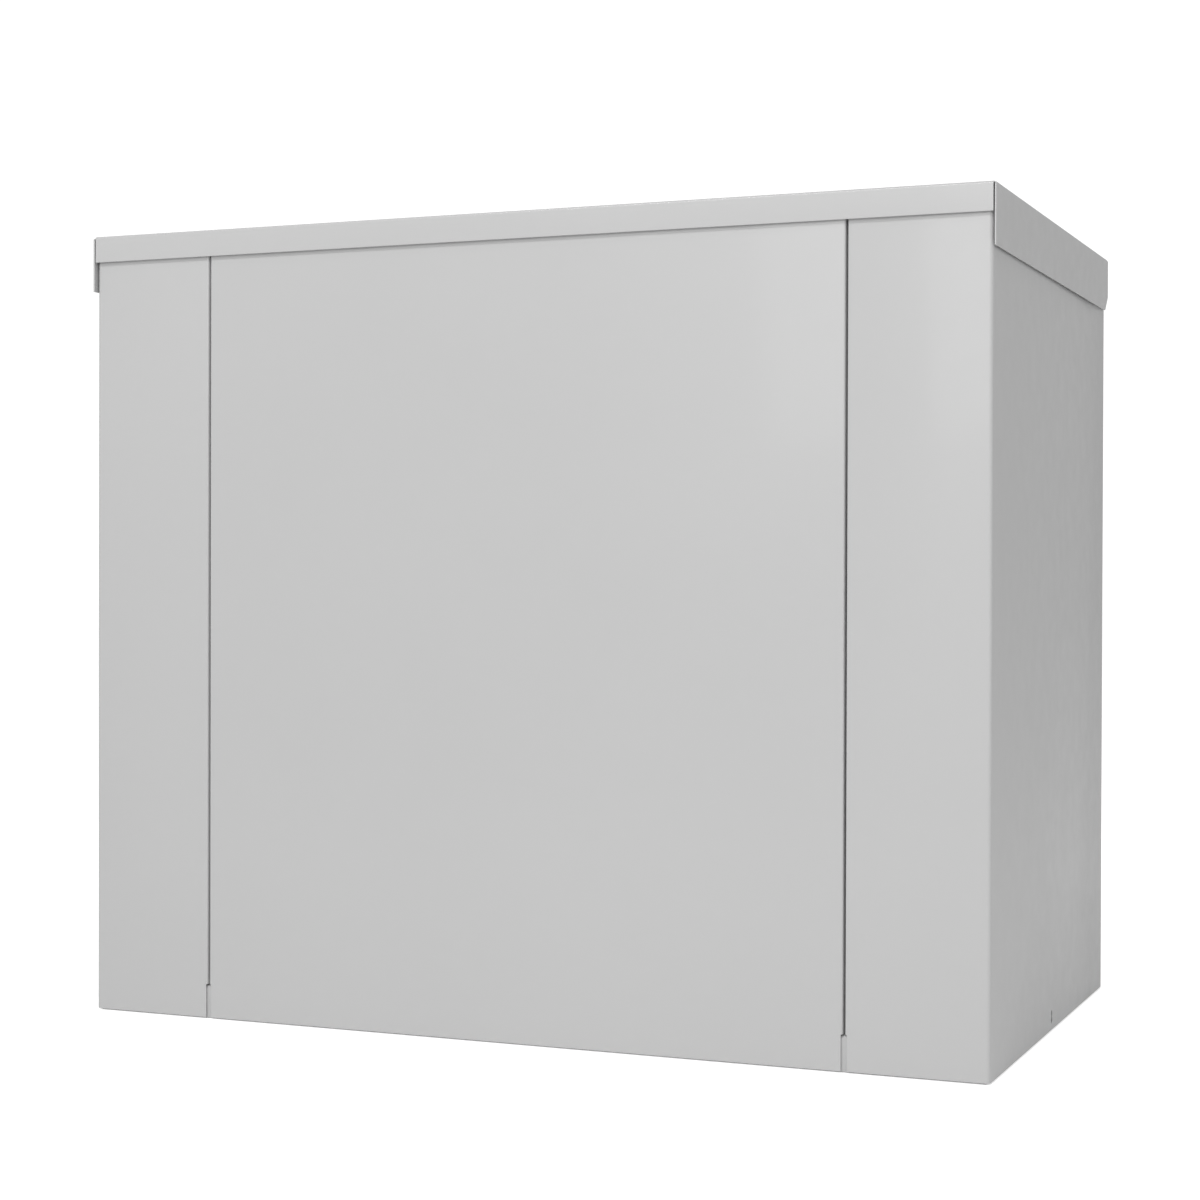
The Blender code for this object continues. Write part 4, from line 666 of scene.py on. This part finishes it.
def blower_screen():
    """Round guard over the cooling air's inlet."""
    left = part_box("blower_housing")[0].x
    at = facing(crank_at(left), (-1, 0, 0))
    guard = Shape()
    for radius in (0.018, 0.030, 0.042, 0.054, 0.0655):
        guard.ring(at, radius - 0.0016, radius + 0.0016, 0.0032, 40)
    for number in range(6):
        spin = at @ Matrix.Rotation(math.pi * number / 3, 4, "Z")
        guard.box((0.016, -0.0016, 0.0), (0.070, 0.0016, 0.0026), spin)
    guard.done("blower_guard", "engine_black")
    rim = Shape()
    for number in range(8):
        spin = at @ Matrix.Rotation(math.pi * (number + 0.5) / 4, 4, "Z")
        rim.screw(spin @ Matrix.Translation((0.104, 0, 0)), 0.0042)
    rim.done("blower_screws", "zinc")


def exhaust_flange():
    pipe_low, pipe_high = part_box("exhaust_pipe")
    port = Vector((pipe_high.x, (pipe_low.y + pipe_high.y) / 2, pipe_low.z + 0.014))
    flange = Shape()
    flange.box(port + Vector((-0.0075, -0.034, -0.017)), port + Vector((-0.0004, 0.034, 0.017)))
    for side in (-1, 1):
        flange.bolt(facing(port + Vector((-0.0075, side * 0.025, 0)), (-1, 0, 0)), 0.010)
    flange.done("exhaust_flange", "aluminised_steel", soft=0.002)


def muffler_stands(can_z):
    """Bands round the muffler on legs bolted to the pan."""
    floor_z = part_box("base_pan")[1].z
    leg, half = CAN_X - 0.0305, 0.008
    for label, y in (("front", -0.100), ("back", 0.108)):
        stand = Shape()
        stand.ring(facing((CAN_X, y - half, can_z), (0, 1, 0)), CAN_RADIUS - 0.0006,
                   CAN_RADIUS + 0.0014, 2 * half, 48)
        stand.box((leg, y - half, floor_z), (leg + 0.0025, y + half, can_z - 0.044))
        stand.box((leg - 0.018, y - half, floor_z), (leg + 0.001, y + half, floor_z + 0.0025))
        stand.bolt(facing((leg - 0.009, y, floor_z + 0.0025), (0, 0, 1)), 0.009)
        stand.bolt(facing((leg + 0.0025, y, can_z - 0.070), (1, 0, 0)), 0.009)
        stand.done("muffler_stand_" + label, "zinc", soft=0.0005)


def shield_arch(shield, middle, inner, outer, width_at, half_y):
    """Facets of one arch over the muffler."""
    for number in range(SHIELD_FACETS):
        angle = -SHIELD_SPAN + 2 * SHIELD_SPAN * (number + 0.5) / SHIELD_FACETS
        half = (CAN_RADIUS + width_at) * SHIELD_SPAN / SHIELD_FACETS * SHIELD_LAP
        shield.box((-half, -half_y, CAN_RADIUS + inner), (half, half_y, CAN_RADIUS + outer),
                   middle @ Matrix.Rotation(angle, 4, "Y"))


def heat_shield(can_z):
    """Arched sheet on spacers over the muffler, with three stiffening beads."""
    top = SHIELD_GAP + 0.001
    shield = Shape()
    shield_arch(shield, Matrix.Translation((CAN_X, 0, can_z)), SHIELD_GAP, top, 0.010, 0.112)
    for y in (-0.085, 0.0, 0.085):
        middle = Matrix.Translation((CAN_X, y, can_z))
        shield_arch(shield, middle, top - 0.0005, top + 0.0013, 0.012, 0.006)
    for y in (-0.060, 0.060):
        for angle in (-0.9, 0.9):
            spin = Matrix.Translation((CAN_X, y, can_z)) @ Matrix.Rotation(angle, 4, "Y")
            shield.bolt(spin @ Matrix.Translation((0, 0, CAN_RADIUS + top)), 0.008)
            shield.turn([(0, 0.011), (0.004, 0.011), (0.004, 0), (0, 0)],
                        spin @ Matrix.Translation((0, 0, CAN_RADIUS - 0.001)), 12)
    shield.done("heat_shield", "aluminised_steel")


def tail_details(can_z):
    """Rose round the tail pipe and the spark arrestor's mesh inside it."""
    at = facing((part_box("left_end_wall")[0].x, TAIL_Y, can_z), (-1, 0, 0))
    rose = Shape().ring(at, 0.0195, 0.034, 0.0016, 40)
    for number in range(3):
        spin = at @ Matrix.Rotation(2 * math.pi * (number + 0.25) / 3, 4, "Z")
        rose.screw(spin @ Matrix.Translation((0.0285, 0, 0.0014)), 0.0028)
    rose.done("tail_rose", "aluminised_steel")
    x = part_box("muffler")[0].x + 0.006
    arrestor = Shape()
    for number in range(-4, 5):
        step = number * 0.0032
        half = math.sqrt(TAIL_RADIUS ** 2 - step ** 2)
        arrestor.rod((x, TAIL_Y + step, can_z - half), (x, TAIL_Y + step, can_z + half), 0.0005, 6)
        arrestor.rod((x, TAIL_Y - half, can_z + step), (x, TAIL_Y + half, can_z + step), 0.0005, 6)
    arrestor.done("spark_arrestor", "zinc")


def exhaust_details():
    can_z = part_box("muffler")[1].z - CAN_RADIUS
    exhaust_flange()
    muffler_stands(can_z)
    heat_shield(can_z)
    tail_details(can_z)


def frame_lip(name, node, slot, share, out=0.0022, high=0.006, soft=0.0012):
    """Rounded lip all round a box where its two halves meet."""
    low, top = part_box(node)
    z = low.z + (top.z - low.z) * share
    left, front, right, back = low.x - out, low.y - out, top.x + out, top.y + out
    lip = Shape()
    lip.box((left, front, z), (right, low.y + 0.001, z + high))
    lip.box((left, top.y - 0.001, z), (right, back, z + high))
    lip.box((left, front, z), (low.x + 0.001, back, z + high))
    lip.box((top.x - 0.001, front, z), (right, back, z + high))
    lip.done(name, slot, soft=soft)
    return z


def air_cleaner_details():
    """Lip, spring clips and ribs on the lid of the air cleaner."""
    z = frame_lip("air_cleaner_lip", "air_cleaner", "black_plastic", 0.55)
    low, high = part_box("air_cleaner")
    clips = Shape()
    for y, way in ((low.y, -1), (high.y, 1)):
        for x in (low.x + 0.030, high.x - 0.030):
            strap, outer = y + way * 0.0036, y + way * 0.0052
            for inner, foot, head in ((y, -0.014, -0.011), (y, 0.016, 0.019),
                                      (strap, -0.014, 0.019)):
                clips.box((x - 0.007, min(inner, outer), z + foot),
                          (x + 0.007, max(inner, outer), z + head))
    clips.done("air_cleaner_clips", "zinc", soft=0.0006)
    ribs = Shape()
    first, last = low.x + 0.016, high.x - 0.016
    for number in range(7):
        y = low.y + 0.025 + number * (high.y - low.y - 0.05) / 6
        ribs.box((first, y - 0.002, high.z - 0.001), (last, y + 0.002, high.z + 0.0022))
    ribs.done("air_cleaner_ribs", "black_plastic", soft=0.0011)


def governor_spring():
    """Tension spring from the governor arm."""
    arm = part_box("governor_arm")[1]
    start = Vector((arm.x - 0.006, 0.106, arm.z - 0.0045))
    end = start + Vector((0, SPRING_LENGTH, 0))
    points = []
    for step in range(SPRING_TURNS * SPRING_FACETS + 1):
        angle = 2 * math.pi * step / SPRING_FACETS
        middle = start.lerp(end, step / (SPRING_TURNS * SPRING_FACETS))
        points.append(middle + Vector((math.cos(angle), 0, math.sin(angle))) * 0.0042)
    spring = Shape().wire(points, 0.0006).done("governor_spring", "zinc")
    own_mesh(spring)


def intake_details():
    air_cleaner_details()
    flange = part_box("mixer")[0].x + 0.007
    bolts = Shape()
    for side in (-1, 1):
        bolts.bolt(facing((flange, PORTS_Y + side * 0.025, PORTS_Z), (1, 0, 0)), 0.008)
    bolts.done("mixer_bolts", "zinc")
    governor_spring()


def alternator_details():
    """Tie bolts, end bell ribs, and the terminal box on the stator."""
    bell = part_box("end_bell")[1].x
    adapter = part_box("adapter_housing")[0].x
    ties = Shape()
    for number in range(4):
        angle = math.pi / 4 + QUARTER * number
        out = Vector((0, math.cos(angle), math.sin(angle)))
        start = crank_at(adapter + 0.004) + out * TIE_RADIUS
        end = crank_at(bell - 0.014) + out * TIE_RADIUS
        ties.rod(start, end, 0.0032, 12)
        ties.bolt(facing(end, (1, 0, 0)), 0.009)
        for boss in (end - Vector((0.0075, 0, 0)), start):
            ties.turn([(0, 0.007), (0.0075, 0.007), (0.0075, 0), (0, 0)],
                      facing(boss, (1, 0, 0)), 16)
    ties.done("stator_ties", "zinc")
    grille = Shape()
    at = facing(crank_at(bell), (1, 0, 0))
    grille.ring(at, 0.044, 0.048, 0.0026, 40)
    grille.turn([(0, 0.004), (0.016, 0.004), (0.019, 0.001), (0.019, 0), (0, 0)], at, 28)
    for number in range(16):
        spin = at @ Matrix.Rotation(math.pi * number / 8, 4, "Z")
        grille.box((0.018, -0.0014, 0), (0.045, 0.0014, 0.0022), spin)
    grille.done("end_bell_ribs", "cast_aluminium", soft=0.0004)
    box = Shape()
    top = crank_at(0.055).z + 0.100
    y = crank_at(0).y
    box.box((0.028, y - 0.032, top - 0.006), (0.086, y + 0.032, top + 0.024))
    box.done("alternator_terminal_box", "black_plastic", soft=0.003)
    screws = Shape()
    for x in (0.034, 0.080):
        for side in (-0.026, 0.026):
            screws.screw(facing((x, y + side, top + 0.0238), (0, 0, 1)), 0.003)
    screws.done("terminal_box_screws", "zinc")


# --- Gas and starting ---------------------------------------------------------------
STARTER_RADIUS = 0.034
STARTER_Z = 0.165
HOSE_RADIUS = 0.0064


def hose_clamp(name, point, axis):
    """Worm-drive band round the end of the fuel hose."""
    at = facing(point, axis)
    clamp = Shape().ring(at, HOSE_RADIUS - 0.0004, HOSE_RADIUS + 0.0010, 0.007, 32)
    clamp.box((-0.0045, HOSE_RADIUS, 0.0006), (0.0045, HOSE_RADIUS + 0.0062, 0.0064), at)
    clamp.bolt(at @ facing((0.0045, HOSE_RADIUS + 0.0032, 0.0035), (1, 0, 0)), 0.0055)
    clamp.done(name, "zinc", soft=0.0003)


def fuel_details():
    """Regulator screws and cap, hose clamps, inlet grommet, and the valve's grip and nut."""
    low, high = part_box("fuel_regulator")
    centre = middle_of("fuel_regulator")
    at = facing((centre.x, high.y, centre.z), (0, -1, 0))
    screws = Shape()
    for number in range(8):
        spin = at @ Matrix.Rotation(QUARTER * number / 2, 4, "Z")
        screws.bolt(spin @ Matrix.Translation((0.0560, 0, 0.0302)), 0.007)
    screws.done("regulator_screws", "zinc")
    cap = facing((centre.x, low.y + 0.0015, centre.z), (0, -1, 0))
    Shape().turn([(0, 0.012), (0.006, 0.012), (0.008, 0.009), (0.008, 0), (0, 0)],
                 cap, 6).done("regulator_cap", "brass")
    hose_clamp("hose_clamp_regulator", (0.0300, 0.155, 0.2551), (1, 0, 0))
    hose_clamp("hose_clamp_mixer", (-0.0567, -0.0124, PORTS_Z), (0, 1, 0))
    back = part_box("back_panel")[1].y
    inlet = middle_of("fuel_inlet")
    grommet("inlet_grommet", (inlet.x, back - SHEET / 2, 0.110), (0, -1, 0), 0.0125)
    low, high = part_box("fuel_valve_handle")
    middle = (low.x + high.x) / 2
    sleeve = Shape().box((middle - 0.0068, low.y - 0.002, low.z + 0.0042),
                         (middle + 0.0068, low.y + 0.027, low.z + 0.0108))
    sleeve.done("valve_grip", "yellow_plastic", "fuel_valve", soft=0.0022)
    nut = Shape().bolt(facing((middle, high.y - 0.007, high.z), (0, 0, 1)), 0.0075)
    nut.done("valve_nut", "zinc", "fuel_valve")


def starter_details():
    """Bolts and bands of the starter; returns the place of the solenoid's upper stud."""
    low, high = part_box("starter_motor")
    y, z = high.y - STARTER_RADIUS, STARTER_Z
    bolts = Shape()
    for angle in (0.8, 2.4, 4.0, 5.5):
        out = Vector((0, math.cos(angle), math.sin(angle))) * 0.024
        bolts.bolt(facing(Vector((high.x, y, z)) + out, (1, 0, 0)), 0.007)
    bolts.done("starter_bolts", "zinc")
    bands = Shape()
    for x in (low.x + 0.012, high.x - 0.014):
        bands.ring(facing((x, y, z), (1, 0, 0)), 0.0336, 0.0352, 0.003, 40)
    bands.done("starter_bands", "engine_black")
    studs = Shape()
    for side in (-0.009, 0.009):
        foot = Vector((high.x - 0.0285, y - 0.020, z - 0.040 + side))
        studs.bolt(facing(foot, (1, 0, 0)), 0.008)
        studs.rod(foot, foot + Vector((0.012, 0, 0)), 0.0022, 10)
    studs.done("solenoid_studs", "brass")
    return Vector((high.x - 0.018, y - 0.020, z - 0.031))


# --- Electrical ---------------------------------------------------------------------
STRAP_HALF = 0.0145           # battery strap's half width
DISPLAY = (0.046, 0.030, 0.0045)      # half width, depth, rim
BLOCK_Y = 0.128               # terminal block's corner on the bulkhead
BLOCK_Z = 0.440
POLE = 0.0225                 # pitch of its poles
FIRST_POLE = 0.0123           # middle of the first one, from the corner
PASS_YZ = (0.150, 0.330)      # loom's hole in the bulkhead
CONDUIT_HOLE = (0.300, 0.150)
CONTROL_HOLE = (0.235, 0.150)
GROUND = (0.350, 0.100)
STARTER_CABLE = 0.0042        # radius


def battery_details():
    """Lid lip, vent caps, posts with their clamps."""
    frame_lip("battery_lip", "battery", "black_plastic", 0.84, 0.0016, 0.010, 0.0010)
    low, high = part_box("battery")
    caps = Shape()
    for number in range(6):
        x = low.x + 0.022 + number * (high.x - low.x - 0.044) / 5
        if abs(x - (low.x + high.x) / 2) > STRAP_HALF:
            y = low.y + 0.040
            caps.turn([(0, 0.0042), (0.0075, 0.0042), (0.0088, 0.003), (0.0088, 0), (0, 0)],
                      facing((x, y, high.z - 0.0004), (0, 0, 1)), 24)
            caps.box((x - 0.006, y - 0.0008, high.z + 0.003),
                     (x + 0.006, y + 0.0008, high.z + 0.0052))
    caps.done("battery_caps", "grey_plastic", soft=0.0003)
    posts = {}
    for label, x in (("positive", low.x + 0.026), ("negative", high.x - 0.026)):
        foot = Vector((x, high.y - 0.024, high.z - 0.0004))
        post = Shape().turn([(0, 0.017), (0.0062, 0.017), (0.0072, 0.016), (0.0084, 0), (0, 0)],
                            facing(foot, (0, 0, 1)), 24)
        post.done("battery_post_" + label, "zinc")
        clamp = Shape().ring(facing(foot + Vector((0, 0, 0.004)), (0, 0, 1)), 0.0078, 0.0125, 0.010, 28)
        clamp.box(foot + Vector((-0.007, 0.009, 0.005)), foot + Vector((0.007, 0.026, 0.013)))
        clamp.bolt(facing(foot + Vector((0.007, 0.018, 0.009)), (1, 0, 0)), 0.008)
        clamp.done("battery_clamp_" + label, "brass", soft=0.0008)
        posts[label] = foot + Vector((0, 0.024, 0.009))
    return posts


def display(middle, front, top):
    """Frame round the display and its tinted window."""
    wide, deep, rim = DISPLAY
    back = front + deep + 2 * rim
    low, high = top - 0.001, top + 0.0028
    frame_piece = Shape()
    frame_piece.box((middle - wide, front, low), (middle + wide, front + rim, high))
    frame_piece.box((middle - wide, back - rim, low), (middle + wide, back, high))
    for side in (-1, 1):
        edge = middle + side * (wide - rim / 2)
        frame_piece.box((edge - rim / 2, front, low), (edge + rim / 2, back, high))
    frame_piece.done("display_frame", "black_plastic", soft=0.0008)
    glass = Shape().box((middle - wide + 0.003, front + 0.003, low),
                        (middle + wide - 0.003, back - 0.003, top + 0.0012))
    glass.done("display_window", "black_plastic", soft=0.0003, look=WINDOW)


def control_details():
    """Lip, button bezels, display, lamps and screws of the control box."""
    frame_lip("control_box_lip", "control_box", "grey_plastic", 0.86, 0.0020, 0.005, 0.0009)
    low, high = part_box("control_box")
    for name in ("button_off", "button_auto", "button_manual"):
        centre = middle_of(name)
        at = facing((centre.x, centre.y, high.z - 0.0002), (0, 0, 1))
        Shape().turn([(0.0079, 0.0016), (0.0100, 0.0022), (0.0125, 0.0014), (0.0130, 0.0),
                      (0.0079, 0.0)], at, 36).done(name + "_bezel", "black_plastic")
    mid = middle_of("control_box").x
    display(mid, low.y + 0.066, high.z)
    for number, slot in enumerate(("green_plastic", "yellow_plastic", "red_plastic")):
        x = mid + (number - 1) * 0.024
        at = facing((x, low.y + 0.120, high.z - 0.0004), (0, 0, 1))
        Shape().turn([(0, 0.0034), (0.0012, 0.0032), (0.0022, 0.0022), (0.0026, 0.0), (0, 0)],
                     at, 20).done("lamp_%d" % number, slot)
        Shape().ring(at, 0.0028, 0.0042, 0.0014, 24).done("lamp_rim_%d" % number, "black_plastic")
    screws = Shape()
    for x in (low.x + 0.010, high.x - 0.010):
        for y in (low.y + 0.010, high.y - 0.010):
            screws.screw(facing((x, y, high.z - 0.0002), (0, 0, 1)), 0.0036)
    screws.done("control_box_screws", "zinc")


def gland(name, point, axis, radius):
    """Cable gland: hexagon body and domed nut."""
    at = facing(point, axis)
    body = Shape().turn([(0, 0.006), (radius * 1.75, 0.006), (radius * 1.75, 0), (0, 0)], at, 6)
    body.turn([(0, 0.020), (radius * 1.05, 0.020), (radius * 1.35, 0.017), (radius * 1.55, 0.009),
               (radius * 1.55, 0.005), (0, 0.005)], at, 24)
    body.done(name, "black_plastic")


def breaker_details():
    """Terminal screws and the ridges beside the toggle."""
    low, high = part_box("breaker")
    screws = Shape()
    for x in (low.x + 0.014, high.x - 0.014):
        for y in (low.y + 0.009, high.y - 0.009):
            screws.screw(facing((x, y, high.z - 0.0002), (0, 0, 1)), 0.0048)
    screws.done("breaker_screws", "brass")
    face = Shape()
    for y in (low.y + 0.0165, high.y - 0.0165):
        face.box((low.x + 0.001, y - 0.0008, high.z - 0.0005),
                 (high.x - 0.001, y + 0.0008, high.z + 0.0016))
    face.done("breaker_ridges", "black_plastic", soft=0.0005)


def terminal_block():
    """Four-pole block for the supply conductors, on the bulkhead."""
    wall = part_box("bulkhead")[1].x
    low = Vector((wall, BLOCK_Y, BLOCK_Z))
    block = Shape()
    block.box(low, low + Vector((0.012, 0.092, 0.040)))
    for number in range(5):
        y = low.y + number * POLE
        block.box((wall, y, low.z), (wall + 0.024, y + 0.002, low.z + 0.040))
    block.done("terminal_block", "black_plastic", soft=0.0008)
    screws = Shape()
    for number in range(4):
        y = low.y + FIRST_POLE + number * POLE
        screws.box((wall + 0.011, y - 0.007, low.z + 0.006), (wall + 0.014, y + 0.007, low.z + 0.034))
        for z in (0.012, 0.028):
            screws.screw(facing((wall + 0.014, y, low.z + z), (1, 0, 0)), 0.0045)
    screws.done("terminal_screws", "brass")
    return low


def wiring(posts, stud):
    """Loom, battery cables and supply leads."""
    box_low, box_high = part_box("control_box")
    pass_y, pass_z = PASS_YZ
    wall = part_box("bulkhead")[0].x
    grommet("bulkhead_grommet", (wall + SHEET / 2, pass_y, pass_z), (1, 0, 0), 0.0235)
    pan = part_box("base_pan")[1].z
    grommet("conduit_grommet", (*CONDUIT_HOLE, pan - SHEET / 2), (0, 0, 1), 0.0215)
    grommet("control_cable_grommet", (*CONTROL_HOLE, pan - SHEET / 2), (0, 0, 1), 0.0135)
    exit_at = Vector((box_high.x - 0.060, box_high.y, box_low.z + 0.030))
    gland("loom_gland", exit_at - Vector((0, 0.0004, 0)), (0, 1, 0), 0.0085)
    terminal = Vector((0.057, crank_at(0).y + 0.032, 0.316))
    gland("alternator_gland", terminal - Vector((0, 0.0004, 0)), (0, 1, 0), 0.0070)
    cable("loom_electrical", "black_plastic", [
        exit_at + Vector((0, 0.014, 0)), exit_at + Vector((0, 0.030, -0.002)),
        Vector((0.262, 0.110, 0.490)), Vector((0.226, 0.146, 0.400)),
        Vector((0.200, 0.158, 0.345)), Vector((wall + 0.004, 0.158, pass_z + 0.002))],
        0.0080, count=26, rib=0.16)
    cable("loom_alternator", "black_plastic", [
        Vector((wall + 0.004, 0.158, pass_z + 0.002)), Vector((0.140, 0.152, 0.344)),
        Vector((0.100, 0.118, 0.352)), Vector((0.064, 0.090, 0.334)),
        terminal + Vector((0, 0.030, 0.001)), terminal + Vector((0, 0.015, 0))],
        0.0068, count=24, rib=0.16)
    red = posts["positive"]
    cable("battery_cable_positive", "red_plastic", [
        red, red + Vector((0, 0.016, 0.004)), Vector((0.206, 0.020, 0.240)),
        Vector((0.198, 0.104, 0.292)), Vector((0.186, 0.140, 0.326)),
        Vector((wall, 0.140, 0.330)), Vector((0.157, 0.118, 0.330)), Vector((0.156, 0.020, 0.332)),
        Vector((0.156, -0.096, 0.240)), Vector((0.140, -0.146, 0.150)),
        Vector((0.050, -0.152, 0.118)), Vector((-0.060, -0.150, 0.118)),
        stud + Vector((0.030, -0.001, 0.001)), stud], STARTER_CABLE, count=7)
    black = posts["negative"]
    ground = Vector((*GROUND, pan))
    cable("battery_cable_negative", "rubber", [
        black, black + Vector((0, 0.018, 0.003)), Vector((0.362, 0.020, 0.190)),
        Vector((0.356, 0.066, 0.090)), ground + Vector((0, -0.004, 0.022)),
        ground + Vector((0, 0, 0.006))], STARTER_CABLE)
    lug = Shape().ring(facing(ground, (0, 0, 1)), 0.004, 0.009, 0.003, 24)
    lug.bolt(facing(ground + Vector((0, 0, 0.003)), (0, 0, 1)), 0.010)
    lug.done("ground_lug", "brass")
    block = terminal_block()
    breaker_low, breaker_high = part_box("breaker")
    for number, x in enumerate((breaker_low.x + 0.014, breaker_high.x - 0.014)):
        start = Vector((x, breaker_high.y, breaker_high.z - 0.030))
        end = block + Vector((0.016, FIRST_POLE + POLE * number, 0.036))
        cable("supply_lead_%d" % number, ("rubber", "red_plastic")[number], [
            start - Vector((0, 0.002, 0)), start + Vector((0, 0.014, -0.001)),
            Vector((x + 0.006, start.y + 0.036 + 0.012 * number, 0.580)),
            end + Vector((0.006, 0, 0.040)), end], 0.0036)


def details():
    screens()
    seam_bolts()
    hinge_screws()
    lock_rose()
    lid_pins()
    engine_bolts()
    ignition()
    blower_screen()
    exhaust_details()
    intake_details()
    alternator_details()
    fuel_details()
    control_details()
    breaker_details()
    wiring(battery_details(), starter_details())


details()


# --- Setting ------------------------------------------------------------------------
def camera_or_light(tree, light, seen):
    """Strength of a white surrounding: what it gives as light, and how bright it looks."""
    strength = tree.nodes.new("ShaderNodeMapRange")
    strength.inputs["To Min"].default_value = light
    strength.inputs["To Max"].default_value = seen
    path = tree.nodes.new("ShaderNodeLightPath")
    tree.links.new(path.outputs["Is Camera Ray"], strength.inputs["Value"])
    return strength.outputs["Result"]


def floor():
    mesh = bmesh.new()
    bmesh.ops.create_grid(mesh, x_segments=1, y_segments=1, size=FLOOR_SIZE / 2)
    data = bpy.data.meshes.new("floor")
    mesh.to_mesh(data)
    mesh.free()
    plane = bpy.data.objects.new("floor", data)
    bpy.context.scene.collection.objects.link(plane)
    shader = Shader("floor", (0.90, 0.90, 0.90), 0.9)
    shader.paint(shader.ramp(shader.noise(1.5, 2.0), (0.3, 0.89), (0.7, 0.91)))
    shader.set(Emission_Color=(1.0, 1.0, 1.0, 1.0))
    glow = camera_or_light(shader.tree, FLOOR_LIGHT, FLOOR_SEEN)
    shader.link(glow, shader.main.inputs["Emission Strength"])
    data.materials.append(shader.material)


def softbox(name, place, size, power):
    light = bpy.data.lights.new(name, "AREA")
    light.shape = "RECTANGLE"
    light.size, light.size_y = size
    light.energy = power
    lamp = bpy.data.objects.new(name, light)
    lamp.location = place
    aim = Vector(LIGHTS_AIM) - Vector(place)
    lamp.rotation_euler = aim.to_track_quat("-Z", "Y").to_euler()
    bpy.context.scene.collection.objects.link(lamp)


def studio():
    scene = bpy.context.scene
    scene.view_settings.view_transform = "Standard"
    world = bpy.data.worlds.new("studio")
    world.use_nodes = True
    tree = world.node_tree
    back = tree.nodes["Background"]
    back.inputs["Color"].default_value = (1.0, 1.0, 1.0, 1.0)
    seen = camera_or_light(tree, WORLD_LIGHT, WORLD_SEEN)
    tree.links.new(seen, back.inputs["Strength"])
    scene.world = world
    for name, place, size, power in LIGHTS:
        softbox(name, place, size, power)


def camera():
    lens = bpy.data.cameras.new("camera")
    lens.lens = CAMERA_LENS
    lens.sensor_width = CAMERA_SENSOR
    eye = bpy.data.objects.new("camera", lens)
    turn = (Matrix.Rotation(CAMERA_YAW, 4, "Z")
            @ Matrix.Rotation(math.pi / 2 - CAMERA_PITCH, 4, "X")
            @ Matrix.Rotation(CAMERA_ROLL, 4, "Z"))
    eye.matrix_world = Matrix.Translation(CAMERA_AT) @ turn
    bpy.context.scene.collection.objects.link(eye)
    bpy.context.scene.camera = eye


floor()
studio()
camera()
